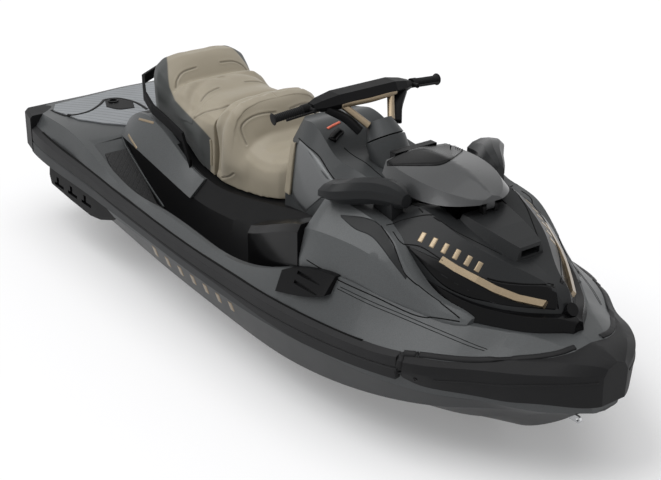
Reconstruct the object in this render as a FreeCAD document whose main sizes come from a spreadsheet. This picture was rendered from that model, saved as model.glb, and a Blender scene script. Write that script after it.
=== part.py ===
import FreeCAD, Part
import math
import os

Vector = FreeCAD.Vector
Rotation = FreeCAD.Rotation

# Driving dimensions, in millimetres and degrees

SIZES = {
    # moulded hull and deck, without rails and bumpers
    "hull_length": 3400,
    "hull_breadth": 1200,
    "bar_height": 1000,
    "draft": 232,
    "overrun": 4,
    "fit_gap": 0.3,
    "swing_gap": 6,
    # rails and bumpers around the hull
    "rail_thickness": 27.5,
    "rail_land": 9,
    "rail_groove": 6,
    "bumper_thickness": 25.5,
    "stern_pad_height": 190,
    "stern_band_height": 26,
    "edge_bevel": 12,
    "stern_pad_wrap": 110,
    # footwells and pedestal
    "mat_thickness": 7,
    "panel_thickness": 16,
    # seats
    "seat_breadth": 516,
    # stern platform
    "deck_mat_thickness": 8,
    "socket_radius": 26,
    "socket_bore_radius": 19,
    "socket_height": 14,
    "socket_bore_depth": 10,
    "socket_spread": 330,
    # grab strap behind the seat
    "grab_thickness": 14,
    "grab_breadth": 44,
    # water-jet tunnel, pump and outlet
    "tunnel_length": 290,
    "tunnel_breadth": 350,
    "tunnel_height": 296,
    "pump_axis_height": 140,
    "pump_bore_radius": 80,
    "pump_wall": 7,
    "pump_length": 100,
    "venturi_length": 66,
    "spigot_length": 36,
    "venturi_radius": 44,
    "stator_hub_radius": 26,
    "stator_length": 36,
    "stator_blade_thickness": 4,
    "stator_blades": 5,
    "stator_blade_angle": 12,
    "impeller_length": 50,
    "impeller_hub_radius": 24,
    "impeller_tip_gap": 5,
    "impeller_blade_thickness": 4,
    "impeller_blades": 4,
    "impeller_blade_angle": 55,
    "shaft_radius": 14,
    "nozzle_mouth_radius": 60,
    "nozzle_outlet_radius": 50,
    "nozzle_wall": 5,
    "nozzle_length": 74,
    "nozzle_overlap": 10,
    "nozzle_pin_radius": 8,
    "nozzle_pin_reach": 74,
    "nozzle_pin_setback": 11,
    "bucket_radius": 136,
    "bucket_wall": 5,
    "bucket_breadth": 240,
    "bucket_low_angle": 48,
    "bucket_high_angle": 108,
    "bucket_pin_radius": 7,
    "bucket_pin_setback": 50,
    "intake_breadth": 150,
    "grate_bars": 4,
    "grate_bar_breadth": 8,
    "grate_bar_depth": 14,
    "grate_frame": 12,
    "grate_heel": 48,
    "ride_plate_thickness": 10,
    "ride_plate_length": 262,
    # engine
    "engine_length": 600,
    "engine_breadth": 360,
    "engine_height": 370,
    "engine_setback": 420,
    "engine_base": 104,
    # sponsons
    "sponson_breadth": 62,
    "sponson_slot_length": 92,
    "sponson_slot_height": 46,
    # boarding ladder on the transom
    "ladder_breadth": 190,
    "ladder_height": 160,
    "ladder_tube_radius": 7,
    "ladder_offset": 270,
    "ladder_hinge_height": 345,
    "ladder_pin_radius": 4,
    "ladder_knuckle_radius": 9,
    "ladder_bracket_breadth": 16,
    "ladder_bracket_thickness": 6,
    # tow eyes
    "eye_plate_thickness": 10,
    "eye_outer_radius": 14,
    "eye_bore_radius": 7,
    "eye_reach": 11,
    "eye_root": 56,
    "stern_eye_spread": 720,
    "stern_eye_height": 265,
    "bow_eye_height": 205,
    # steering column and handlebar
    "column_tilt": 32,
    "column_boss_radius": 82,
    "column_boss_height": 40,
    "column_boss_root": 90,
    "column_cone_height": 70,
    "column_cone_base_radius": 78,
    "column_cone_top_radius": 52,
    "column_shaft_radius": 15,
    "column_shaft_length": 120,
    "bar_radius": 11,
    "grip_radius": 17,
    "grip_length": 132,
    "grip_flange_radius": 23,
    "grip_flange_thickness": 7,
    "bar_pad_breadth": 496,
    "bar_pad_depth": 100,
    "bar_pad_height": 58,
    "bar_arm_radius": 12,
    "bar_trim_thickness": 4,
    "lever_length": 128,
    "lever_thickness": 9,
    "lever_reach": 46,
    "lever_clamp_length": 26,
    "lever_clamp_radius": 20,
    # lid of the front storage bin
    "lid_pin_radius": 5,
    "lid_knuckle_radius": 11,
    "lid_knuckle_length": 40,
    "lid_arm_thickness": 16,
    # mirrors
    "mirror_glass_thickness": 3,
    "mirror_rim": 8,
    # small pieces at the front
    "disc_radius": 25,
    "disc_thickness": 12,
    "disc_root": 40,
    "disc_tilt": 40,
    "accent_breadth": 26,
    "accent_thickness": 18,
    "accent_slope": 44,
    "knee_pad_thickness": 14,
    "gauge_breadth": 210,
    "gauge_height": 92,
    "gauge_depth": 34,
    "vent_slot_height": 13,
    "vent_slot_depth": 12,
}

doc = FreeCAD.newDocument("watercraft")
sheet = doc.addObject("Spreadsheet::Sheet", "Sizes")
for row, (alias, value) in enumerate(SIZES.items(), start=1):
    sheet.set("A%d" % row, alias)
    sheet.set("B%d" % row, str(value))
    sheet.setAlias("B%d" % row, alias)
doc.recompute()


def size(alias):
    return float(getattr(sheet, alias))


half_length = size("hull_length") / 2
half_breadth = size("hull_breadth") / 2
keel_level = -size("draft")


def level(height):
    """A height above the keel, as a height above the waterline."""
    return keel_level + height


def place(x_share, y_share, z_share):
    """A point from its shares of half length, half breadth and bar height."""
    return Vector(
        x_share * half_length,
        y_share * half_breadth,
        level(z_share * size("bar_height")),
    )


# Freeform solids from cross sections


def ring(points):
    return Part.makePolygon(points + [points[0]])


def lofted(rings):
    return Part.makeLoft(rings, True, False)


def symmetric_ring(x_share, half_section):
    """A closed section from half of it, listed from the centre line round to the centre line."""
    left = [place(x_share, y, z) for y, z in half_section]
    right = [place(x_share, -y, z) for y, z in reversed(half_section) if y > 0]
    return ring(left + right)


def side_ring(x_share, section):
    return ring([place(x_share, y, z) for y, z in section])


def port_copy(shape):
    return shape.mirror(Vector(0, 0, 0), Vector(0, 1, 0))


def prism(points, direction):
    return Part.Face(ring(points)).extrude(direction)


def plan_prism(plan_shares, low_share, high_share):
    """A plan outline, given for one side in shares, raised between two heights on both sides."""
    left = [place(x, y, low_share) for x, y in plan_shares]
    right = [place(x, -y, low_share) for x, y in reversed(plan_shares) if y > 0]
    rise = (high_share - low_share) * size("bar_height")
    return prism(left + right, Vector(0, 0, rise))


def profile_prism(profile_shares, y_share):
    """A side profile in x and z shares, carried across the craft to both sides."""
    points = [place(x, -y_share, z) for x, z in profile_shares]
    return prism(points, Vector(0, 2 * y_share * half_breadth, 0))


def one_solid(shape):
    """The largest solid, without the slivers that a cut leaves."""
    return max(shape.Solids, key=lambda solid: solid.Volume)


def box(low, high):
    extent = high - low
    return Part.makeBox(extent.x, extent.y, extent.z, low)


def rod(start, end, radius):
    return Part.makeCylinder(radius, (end - start).Length, start, end - start)


def bent_rod(points, radius, bend_radius):
    """A round bar along straight runs joined by tangent arcs."""
    edges = []
    start = points[0]
    for corner, after in zip(points[1:-1], points[2:]):
        inward = (start - corner).normalize()
        outward = (after - corner).normalize()
        half_turn = (math.pi - inward.getAngle(outward)) / 2
        setback = bend_radius * math.tan(half_turn)
        entry = corner + inward * setback
        leave = corner + outward * setback
        bisector = (inward + outward).normalize()
        middle = corner + bisector * (bend_radius / math.cos(half_turn) - bend_radius)
        edges.append(Part.LineSegment(start, entry).toShape())
        edges.append(Part.Arc(entry, middle, leave).toShape())
        start = leave
    edges.append(Part.LineSegment(start, points[-1]).toShape())
    path = Part.Wire(edges)
    section = Part.Wire(Part.Circle(points[0], points[1] - points[0], radius).toShape())
    return path.makePipeShell([section], True, False)


nodes = {}


def sub_part(label, shape):
    """A named piece of the craft with a shape worked out from the sheet's sizes."""
    piece = doc.addObject("Part::Feature", label)
    piece.Label = label
    piece.Shape = shape
    piece.Placement = FreeCAD.Placement()
    nodes[label] = piece
    return piece.Shape


def keep(label, piece):
    piece.Label = label
    nodes[label] = piece
    return piece


def bind(piece, **formulas):
    for name, formula in formulas.items():
        piece.setExpression(name.replace("__", "."), formula)
    return piece


def primitive(kind, name, **formulas):
    return bind(doc.addObject(kind, name), **formulas)


# Hull below the deck seam

SEAM_SHARE = 0.31

# x; keel z; strake y, z; chine y, z; chine flat y; seam y
HULL_SHARES = [
    (-1.0, 0.0, 0.45, 0.115, 0.66, 0.25, 0.7, 0.74),
    (-0.9, 0.0, 0.45, 0.115, 0.72, 0.252, 0.76, 0.8),
    (-0.6, 0.0, 0.45, 0.112, 0.83, 0.25, 0.875, 0.94),
    (-0.45, 0.0, 0.45, 0.105, 0.845, 0.235, 0.89, 0.96),
    (-0.3, 0.0, 0.45, 0.098, 0.855, 0.215, 0.905, 0.975),
    (0.0, 0.0, 0.45, 0.085, 0.87, 0.182, 0.915, 0.99),
    (0.15, 0.0, 0.45, 0.08, 0.87, 0.168, 0.915, 0.99),
    (0.3, 0.0, 0.45, 0.08, 0.87, 0.167, 0.915, 0.985),
    (0.45, 0.0, 0.44, 0.085, 0.835, 0.18, 0.88, 0.95),
    (0.6, 0.002, 0.4, 0.095, 0.76, 0.21, 0.805, 0.875),
    (0.72, 0.02, 0.33, 0.125, 0.635, 0.24, 0.68, 0.745),
    (0.82, 0.09, 0.235, 0.185, 0.45, 0.27, 0.49, 0.535),
    (0.9, 0.19, 0.15, 0.245, 0.31, 0.289, 0.34, 0.395),
    (0.95, 0.262, 0.09, 0.282, 0.2, 0.299, 0.225, 0.27),
    (0.995, 0.3, 0.02, 0.302, 0.06, 0.305, 0.07, 0.1),
]
STRAKE_STEP_SHARE = 0.045

# The hull ends under the deck's overhang
TRANSOM_SHARE = -0.962

# seam y; rail foot z; rail y; rail top z; shoulder y, z; crown z, at the stations of the hull
DECK_SHARES = [
    (0.37, 0.86, 0.5, 0.79, 0.55, 0.56),
    (0.37, 0.91, 0.49, 0.84, 0.555, 0.57),
    (0.37, 0.95, 0.465, 0.895, 0.53, 0.56),
    (0.37, 0.97, 0.455, 0.91, 0.475, 0.5),
    (0.365, 0.985, 0.445, 0.915, 0.465, 0.48),
    (0.345, 1.0, 0.43, 0.925, 0.455, 0.47),
    (0.34, 1.0, 0.43, 0.925, 0.468, 0.48),
    (0.345, 1.0, 0.435, 0.9, 0.545, 0.56),
    (0.35, 0.965, 0.44, 0.81, 0.6, 0.605),
    (0.36, 0.89, 0.445, 0.69, 0.572, 0.585),
    (0.36, 0.765, 0.455, 0.53, 0.55, 0.57),
    (0.36, 0.56, 0.465, 0.33, 0.545, 0.56),
    (0.36, 0.43, 0.48, 0.2, 0.535, 0.55),
    (0.36, 0.31, 0.49, 0.115, 0.515, 0.525),
    (0.36, 0.14, 0.495, 0.03, 0.5, 0.505),
]


def hull_ring(row):
    x, keel, strake_y, strake_z, chine_y, chine_z, flat_y, seam_y = row
    half = [
        (0, keel),
        (strake_y, strake_z),
        (strake_y + STRAKE_STEP_SHARE * strake_y, strake_z),
        (chine_y, chine_z),
        (flat_y, chine_z),
        (seam_y, SEAM_SHARE),
        (0, SEAM_SHARE),
    ]
    return symmetric_ring(x, half)


def deck_ring(hull_row, deck_row):
    x, seam_y = hull_row[0], hull_row[-1]
    foot_z, rail_y, rail_z, shoulder_y, shoulder_z, crown_z = deck_row
    half = [
        (0, SEAM_SHARE),
        (seam_y, SEAM_SHARE),
        (rail_y, foot_z),
        (rail_y, rail_z),
        (shoulder_y, shoulder_z),
        (0, crown_z),
    ]
    return symmetric_ring(x, half)


transom = TRANSOM_SHARE * half_length
stern = -half_length
overhang = box(
    Vector(stern - size("overrun"), -half_breadth, keel_level - size("overrun")),
    Vector(transom, half_breadth, level(SEAM_SHARE * size("bar_height"))),
)
hull_body = lofted([hull_ring(row) for row in HULL_SHARES]).cut(overhang)
deck_body = lofted([deck_ring(*rows) for rows in zip(HULL_SHARES, DECK_SHARES)])

# Footwells: a ramp from the stern platform down to a floor, and up again behind the fairings

FLOOR_SHARE = 0.33
FOOTWELL_PROFILE_SHARES = [
    (-0.66, 0.8),
    (-0.635, 0.545),
    (-0.43, FLOOR_SHARE),
    (0.3, FLOOR_SHARE),
    (0.345, 0.8),
]
FOOTWELL_PLAN_SHARES = [
    (-0.7, 0),
    (-0.7, 0.8),
    (-0.5, 0.865),
    (-0.3, 0.885),
    (0.0, 0.895),
    (0.25, 0.885),
    (0.36, 0.83),
    (0.36, 0),
]
footwell_void = profile_prism(FOOTWELL_PROFILE_SHARES, 1.0)
footwell_void = footwell_void.common(plan_prism(FOOTWELL_PLAN_SHARES, 0.2, 0.9))

# Pedestal under the seats: x; foot y; waist y, z; top y, z
PEDESTAL_SHARES = [
    (-0.65, 0.57, 0.53, 0.55, 0.45, 0.62),
    (-0.56, 0.6, 0.57, 0.55, 0.45, 0.69),
    (-0.41, 0.62, 0.57, 0.5, 0.45, 0.615),
    (-0.265, 0.635, 0.58, 0.46, 0.45, 0.53),
    (-0.12, 0.67, 0.58, 0.46, 0.43, 0.53),
    (0.0, 0.7, 0.58, 0.47, 0.41, 0.56),
    (0.12, 0.735, 0.6, 0.5, 0.41, 0.6),
    (0.2, 0.76, 0.62, 0.55, 0.42, 0.62),
    (0.345, 0.78, 0.64, 0.57, 0.44, 0.64),
]


def pedestal_ring(row):
    x, foot_y, waist_y, waist_z, top_y, top_z = row
    half = [
        (0, FLOOR_SHARE),
        (foot_y, FLOOR_SHARE),
        (waist_y, waist_z),
        (top_y, top_z),
        (0, top_z),
    ]
    return symmetric_ring(x, half)


pedestal_body = lofted([pedestal_ring(row) for row in PEDESTAL_SHARES])

# Engine: one plain block in a pocket through hull, deck floor and pedestal

engine_low = Vector(
    -size("engine_setback") - size("engine_length") / 2,
    -size("engine_breadth") / 2,
    level(size("engine_base")),
)
engine_extent = Vector(size("engine_length"), size("engine_breadth"), size("engine_height"))
clearance = Vector(size("swing_gap"), size("swing_gap"), 0)
headroom = Vector(0, 0, size("swing_gap"))
engine_pocket = box(engine_low - clearance, engine_low + engine_extent + clearance + headroom)

# Jet tunnel at the stern and the intake duct that leads up to the pump

pump_axis = level(size("pump_axis_height"))
tunnel_front = stern + size("tunnel_length")
tunnel = box(
    Vector(stern - size("overrun"), -size("tunnel_breadth") / 2, keel_level - size("overrun")),
    Vector(tunnel_front, size("tunnel_breadth") / 2, level(size("tunnel_height"))),
)
INTAKE_FRONT_SHARE = -0.588
INTAKE_REAR_SHARE = -0.755
intake_front = INTAKE_FRONT_SHARE * half_length
intake_rear = INTAKE_REAR_SHARE * half_length
duct_profile = [
    Vector(tunnel_front, 0, pump_axis - size("pump_bore_radius")),
    Vector(tunnel_front, 0, pump_axis + size("pump_bore_radius")),
    Vector(tunnel_front + size("pump_length") / 2, 0, pump_axis + size("pump_bore_radius")),
    Vector(intake_front, 0, keel_level - size("overrun")),
    Vector(intake_rear, 0, keel_level - size("overrun")),
]
duct_side = Vector(0, size("intake_breadth") / 2, 0)
duct = prism([point - duct_side for point in duct_profile], duct_side * 2)

shaft_bore = rod(
    Vector(tunnel_front, 0, pump_axis),
    Vector(engine_low.x, 0, pump_axis),
    size("shaft_radius") + size("fit_gap"),
)

hull_shape = hull_body.cut(tunnel).cut(duct).cut(engine_pocket).cut(shaft_bore)
hull = sub_part("hull", one_solid(hull_shape))

# Front storage bin, a real pocket under the hinged lid

BIN_LOW_SHARES = (0.453, -0.208, 0.64)
BIN_HIGH_SHARES = (0.6, 0.208, 1.2)
bin_void = box(place(*BIN_LOW_SHARES), place(*BIN_HIGH_SHARES))

deck_shape = deck_body.cut(footwell_void).cut(engine_pocket)
deck = sub_part("deck", one_solid(deck_shape))

pedestal_shape = pedestal_body.cut(deck_body.cut(footwell_void)).cut(engine_pocket)
pedestal = sub_part("pedestal", one_solid(pedestal_shape))

# Rubbing rails along the sides and bumper round the bow, worked over the hull and the deck

RAIL_STATIONS = [-0.95, -0.9, -0.6, -0.45, -0.3, 0.0, 0.15, 0.3, 0.45, 0.6, 0.68]


def share_at(x_share, column):
    """A deck share between the stations of the table, in proportion."""
    xs = [row[0] for row in HULL_SHARES]
    for i in range(len(xs) - 1):
        if xs[i] <= x_share <= xs[i + 1]:
            part = (x_share - xs[i]) / (xs[i + 1] - xs[i])
            return DECK_SHARES[i][column] * (1 - part) + DECK_SHARES[i + 1][column] * part
    return DECK_SHARES[-1][column]


def rail_ring(x_share):
    foot = place(x_share, -share_at(x_share, 1), share_at(x_share, 0))
    top = place(x_share, -share_at(x_share, 1), share_at(x_share, 2))
    inward = Vector(0, size("rail_thickness"), 0)
    out = Vector(0, -size("rail_thickness"), 0)
    land = Vector(0, 0, size("rail_land"))
    groove = Vector(0, 0, size("rail_groove"))
    middle = (foot + top) / 2 - land
    outer = [
        foot + out - land,
        middle + out - groove,
        middle + out * (1 - size("rail_groove") / size("rail_thickness")),
        middle + out + groove,
        top + out - land,
    ]
    return ring([foot + inward, *outer, top + land / 2, top + inward])


rail_body = lofted([rail_ring(x) for x in RAIL_STATIONS]).cut(deck_body).cut(hull_body)
rail = one_solid(rail_body)
sub_part("rub_rail", Part.makeCompound([rail, port_copy(rail)]))

# Bow bumper: x; outer y; low z; brow y, z; crest z
BUMPER_SHARES = [
    (0.685, 0.85, 0.335, 0.8, 0.46, 0.465),
    (0.72, 0.81, 0.335, 0.74, 0.465, 0.475),
    (0.76, 0.735, 0.335, 0.66, 0.47, 0.485),
    (0.82, 0.605, 0.335, 0.53, 0.48, 0.5),
    (0.88, 0.51, 0.342, 0.42, 0.495, 0.515),
    (0.93, 0.41, 0.355, 0.32, 0.505, 0.53),
    (0.97, 0.3, 0.355, 0.22, 0.51, 0.53),
    (1.0, 0.18, 0.35, 0.12, 0.505, 0.52),
    (1.014, 0.1, 0.352, 0.07, 0.495, 0.51),
]
BUMPER_FOOT_SHARE = 0.93
BUMPER_BROW_DROP_SHARE = 0.03


def bumper_ring(row):
    x, outer_y, low_z, brow_y, brow_z, crest_z = row
    half = [
        (0, low_z),
        (outer_y * BUMPER_FOOT_SHARE, low_z),
        (outer_y, (low_z + brow_z) / 2),
        (outer_y, brow_z - BUMPER_BROW_DROP_SHARE),
        (brow_y, brow_z),
        (0, crest_z),
    ]
    return symmetric_ring(x, half)


bumper_body = lofted([bumper_ring(row) for row in BUMPER_SHARES])
bumper_body = bumper_body.cut(deck_body).cut(hull_body).cut(rail).cut(port_copy(rail))
sub_part("bow_bumper", one_solid(bumper_body))

# Stern bumper: two corner pads and the band over the transom's top edge

stern_corner = place(-1.0, DECK_SHARES[0][1], DECK_SHARES[0][0])
pad_low = stern_corner.z - size("rail_land")


def pad_ring_at(thickness, z):
    """The outline of the stern bumper at one height, outside the deck by a thickness."""
    rear = stern - thickness
    front = stern + size("stern_pad_wrap")
    return ring([
        Vector(rear, 0, z),
        Vector(rear, stern_corner.y, z),
        Vector(stern, stern_corner.y + thickness, z),
        Vector(front, stern_corner.y + size("bumper_thickness") + thickness, z),
        Vector(front, 0, z),
    ])


pad_top = pad_low + size("stern_pad_height")
pad_block = Part.makeLoft(
    [
        pad_ring_at(size("bumper_thickness") / 2, pad_low),
        pad_ring_at(size("bumper_thickness"), pad_low + size("edge_bevel")),
        pad_ring_at(size("bumper_thickness"), pad_top - size("edge_bevel")),
        pad_ring_at(size("bumper_thickness") / 2, pad_top),
    ],
    True,
    True,
)
inner_side = stern_corner.y - size("stern_pad_wrap")
pad_inner = box(
    Vector(2 * stern, -inner_side, 2 * keel_level),
    Vector(0, inner_side, pad_top - size("stern_band_height")),
)
pad_block = pad_block.cut(pad_inner)
pad_block = pad_block.fuse(port_copy(pad_block))
stern_bumper = pad_block.cut(deck_body).cut(hull_body).cut(rail).cut(port_copy(rail))
sub_part("stern_bumper", one_solid(stern_bumper))

# Rear side panels, skins over the pedestal's upper rear flanks


def panel_ring(row):
    x, foot_y, waist_y, waist_z, top_y, top_z = row
    waist = place(x, -waist_y, waist_z)
    top = place(x, -top_y, top_z)
    out = Vector(0, -size("panel_thickness"), 0)
    return ring([waist - out, waist + out, top + out, top - out])


panel_body = lofted([panel_ring(row) for row in PEDESTAL_SHARES[:4]])
panel = one_solid(panel_body.cut(pedestal_body).cut(deck_body.cut(footwell_void)))
sub_part("rear_panels", Part.makeCompound([panel, port_copy(panel)]))

# Seats, plain soft solids: x; shoulder y (of half the seat breadth), z; crown z
REAR_SEAT_SHARES = [
    (-0.606, 0.6, 0.82, 0.885),
    (-0.59, 0.8, 0.85, 0.93),
    (-0.565, 0.93, 0.865, 0.955),
    (-0.535, 1.0, 0.86, 0.945),
    (-0.505, 1.0, 0.83, 0.895),
    (-0.475, 1.0, 0.79, 0.84),
    (-0.435, 0.99, 0.8, 0.87),
    (-0.4, 0.985, 0.79, 0.85),
    (-0.365, 0.98, 0.78, 0.835),
    (-0.31, 0.96, 0.775, 0.84),
    (-0.26, 0.93, 0.77, 0.83),
]
FRONT_SEAT_SHARES = [
    (-0.26, 0.93, 0.77, 0.845),
    (-0.24, 0.93, 0.8, 0.885),
    (-0.215, 0.925, 0.825, 0.915),
    (-0.19, 0.92, 0.83, 0.925),
    (-0.17, 0.915, 0.8, 0.895),
    (-0.15, 0.91, 0.745, 0.835),
    (-0.125, 0.91, 0.69, 0.765),
    (-0.09, 0.9, 0.668, 0.738),
    (-0.045, 0.875, 0.668, 0.74),
    (0.0, 0.81, 0.69, 0.765),
    (0.04, 0.65, 0.73, 0.8),
]
SEAT_BASE_SHARE = 0.5
# share of the half breadth; share of the rise from shoulder to crown
SEAT_CROWN_SHARES = [(1.0, 0.0), (0.93, 0.5), (0.74, 0.84), (0.4, 0.98), (0.0, 1.0)]
half_seat = size("seat_breadth") / 2 / half_breadth


def seat_ring(row):
    x, breadth, shoulder_z, crown_z = row
    rise = crown_z - shoulder_z
    crown = [(breadth * half_seat * y, shoulder_z + rise * z) for y, z in SEAT_CROWN_SHARES]
    return symmetric_ring(x, [(0, SEAT_BASE_SHARE), (breadth * half_seat, SEAT_BASE_SHARE), *crown])


rear_seat = Part.makeLoft([seat_ring(row) for row in REAR_SEAT_SHARES], True, True)
rear_seat = rear_seat.cut(pedestal_body).cut(panel).cut(port_copy(panel))
sub_part("seat_rear", one_solid(rear_seat))
front_seat = Part.makeLoft([seat_ring(row) for row in FRONT_SEAT_SHARES], True, True)
sub_part("seat_front", one_solid(front_seat.cut(pedestal_body)))

# Console between the seat and the hood: x; foot y; shoulder y, z; top y, z
CONSOLE_SHARES = [
    (0.045, 0.37, 0.3, 0.86, 0.2, 0.945),
    (0.09, 0.385, 0.34, 0.87, 0.25, 0.95),
    (0.17, 0.415, 0.38, 0.84, 0.28, 0.905),
    (0.22, 0.43, 0.4, 0.81, 0.3, 0.87),
    (0.27, 0.45, 0.41, 0.8, 0.3, 0.86),
    (0.35, 0.48, 0.43, 0.785, 0.29, 0.84),
    (0.43, 0.5, 0.44, 0.77, 0.27, 0.82),
    (0.47, 0.5, 0.44, 0.755, 0.26, 0.81),
]
TOPSIDE_BASE_SHARE = 0.5
FOOT_SHARE = 0.64


def console_ring(row):
    x, foot_y, shoulder_y, shoulder_z, top_y, top_z = row
    half = [
        (0, TOPSIDE_BASE_SHARE),
        (foot_y, TOPSIDE_BASE_SHARE),
        (foot_y, FOOT_SHARE),
        (shoulder_y, shoulder_z),
        (top_y, top_z),
        (0, top_z),
    ]
    return symmetric_ring(x, half)


tilt = math.radians(size("column_tilt"))
column_up = Vector(-math.sin(tilt), 0, math.cos(tilt))
COLUMN_FOOT_SHARES = (0.2765, 0, 0.9)
column_foot = place(*COLUMN_FOOT_SHARES)
column_bore = rod(
    column_foot - column_up * size("column_shaft_length"),
    column_foot + column_up * size("column_shaft_length"),
    size("column_shaft_radius") + size("fit_gap"),
)
deck_floor = deck_body.cut(footwell_void)
boss_top = column_foot + column_up * size("column_boss_height")
column_room = rod(
    boss_top,
    boss_top + column_up * 2 * size("column_cone_height"),
    size("column_cone_base_radius") + size("swing_gap"),
)
console_body = lofted([console_ring(row) for row in CONSOLE_SHARES]).cut(column_room)
console_shape = console_body.cut(deck_floor).cut(pedestal_body).cut(column_bore).cut(bin_void)
console = sub_part("console", one_solid(console_shape))

boss_root = column_foot - column_up * size("column_boss_root")
boss = rod(boss_root, boss_top, size("column_boss_radius")).cut(console_body).cut(column_bore)
sub_part("column_base", one_solid(boss))

# Hood: x; foot y; side y, z; ridge y, z; valley z on the centre line
HOOD_SHARES = [
    (0.44, 0.53, 0.53, 0.78, 0.32, 0.845, 0.82),
    (0.53, 0.53, 0.53, 0.77, 0.34, 0.85, 0.825),
    (0.59, 0.53, 0.525, 0.74, 0.33, 0.835, 0.815),
    (0.65, 0.51, 0.49, 0.7, 0.3, 0.8, 0.785),
    (0.71, 0.46, 0.42, 0.66, 0.24, 0.765, 0.755),
    (0.765, 0.38, 0.33, 0.625, 0.15, 0.73, 0.725),
    (0.83, 0.24, 0.18, 0.6, 0.06, 0.69, 0.69),
    (0.87, 0.13, 0.08, 0.58, 0.03, 0.62, 0.62),
]


def hood_ring(row):
    x, foot_y, side_y, side_z, ridge_y, ridge_z, valley_z = row
    half = [
        (0, TOPSIDE_BASE_SHARE),
        (foot_y, TOPSIDE_BASE_SHARE),
        (side_y, side_z),
        (ridge_y, ridge_z),
        (0, valley_z),
    ]
    return symmetric_ring(x, half)


# Raised scoop on the hood: x; foot y; top y; top z
SCOOP_SHARES = [
    (0.56, 0.25, 0.17, 0.845),
    (0.62, 0.235, 0.16, 0.835),
    (0.68, 0.2, 0.135, 0.815),
    (0.73, 0.15, 0.105, 0.795),
    (0.752, 0.12, 0.085, 0.785),
]
SCOOP_MOUTH_SHARES = [(0.7, 0.75), (0.7, 0.775), (0.76, 0.77), (0.76, 0.745)]
SCOOP_MOUTH_BREADTH_SHARE = 0.075
SCOOP_STEP_SHARE = 0.068


def scoop_ring(row):
    x, foot_y, top_y, top_z = row
    half = [
        (0, TOPSIDE_BASE_SHARE),
        (foot_y, TOPSIDE_BASE_SHARE),
        (foot_y, top_z - SCOOP_STEP_SHARE),
        (top_y, top_z),
        (0, top_z),
    ]
    return symmetric_ring(x, half)


hood_body = lofted([hood_ring(row) for row in HOOD_SHARES])
scoop = Part.makeLoft([scoop_ring(row) for row in SCOOP_SHARES], True, True)
scoop = scoop.cut(profile_prism(SCOOP_MOUTH_SHARES, SCOOP_MOUTH_BREADTH_SHARE))
hood_body = hood_body.fuse(scoop)
hood = sub_part("hood", one_solid(hood_body.cut(deck_body).cut(console_body).cut(bin_void)))

# Side fairings: x; seam y, z; belly y, z; top y, z; inner y
FAIRING_SHARES = [
    (0.335, 0.85, 0.6, 0.8, 0.72, 0.64, 0.82, 0.45),
    (0.4, 0.835, 0.605, 0.77, 0.73, 0.6, 0.825, 0.45),
    (0.47, 0.78, 0.6, 0.715, 0.72, 0.565, 0.8, 0.45),
    (0.56, 0.725, 0.585, 0.68, 0.69, 0.59, 0.76, 0.45),
    (0.62, 0.665, 0.575, 0.64, 0.63, 0.6, 0.67, 0.45),
    (0.68, 0.6, 0.562, 0.575, 0.59, 0.545, 0.61, 0.42),
    (0.75, 0.48, 0.552, 0.465, 0.56, 0.44, 0.568, 0.38),
]


def fairing_ring(row):
    x, seam_y, seam_z, belly_y, belly_z, top_y, top_z, inner_y = row
    section = [
        (-inner_y, TOPSIDE_BASE_SHARE),
        (-seam_y, TOPSIDE_BASE_SHARE),
        (-seam_y, seam_z),
        (-belly_y, belly_z),
        (-top_y, top_z),
        (-inner_y, top_z),
    ]
    return side_ring(x, section)


fairing_body = lofted([fairing_ring(row) for row in FAIRING_SHARES])
fairing = one_solid(fairing_body.cut(deck_floor).cut(pedestal_body).cut(console_body).cut(hood_body))
sub_part("fairings", Part.makeCompound([fairing, port_copy(fairing)]))

# Nose band below the hood: x; foot y; brow y, z; crest z
NOSE_SHARES = [
    (0.62, 0.56, 0.52, 0.66, 0.66),
    (0.68, 0.53, 0.48, 0.635, 0.64),
    (0.75, 0.455, 0.4, 0.61, 0.615),
    (0.81, 0.35, 0.29, 0.6, 0.605),
    (0.86, 0.23, 0.17, 0.6, 0.605),
    (0.89, 0.11, 0.07, 0.595, 0.6),
    (0.905, 0.06, 0.03, 0.58, 0.59),
]


def nose_ring(row):
    x, foot_y, brow_y, brow_z, crest_z = row
    half = [
        (0, TOPSIDE_BASE_SHARE),
        (foot_y, TOPSIDE_BASE_SHARE),
        (brow_y, brow_z),
        (0, crest_z),
    ]
    return symmetric_ring(x, half)


nose_body = lofted([nose_ring(row) for row in NOSE_SHARES])
nose = nose_body.cut(deck_body).cut(hood_body).cut(fairing_body).cut(port_copy(fairing_body))
nose = sub_part("nose_band", one_solid(nose))

# Accent blades on the lower faces of the hood: x; middle y, z
ACCENT_SHARES = [
    (0.645, 0.43, 0.727),
    (0.68, 0.395, 0.706),
    (0.724, 0.342, 0.684),
    (0.76, 0.29, 0.662),
    (0.8, 0.215, 0.642),
    (0.845, 0.115, 0.632),
]


def accent_ring(row):
    """A flat bar lying on a face that slopes down and outwards."""
    slope = math.radians(size("accent_slope"))
    along = Vector(0, math.cos(slope), math.sin(slope)) * size("accent_breadth") / 2
    out = Vector(0, -math.sin(slope), math.cos(slope)) * size("accent_thickness") / 2
    x, y, z = row
    centre = place(x, -y, z)
    return ring([
        centre - along - out,
        centre + along - out,
        centre + along + out,
        centre - along + out,
    ])


accent = Part.makeLoft([accent_ring(row) for row in ACCENT_SHARES], True, True)
accent = one_solid(accent.cut(hood_body).cut(nose_body).cut(fairing_body))
sub_part("accents", Part.makeCompound([accent, port_copy(accent)]))

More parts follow.
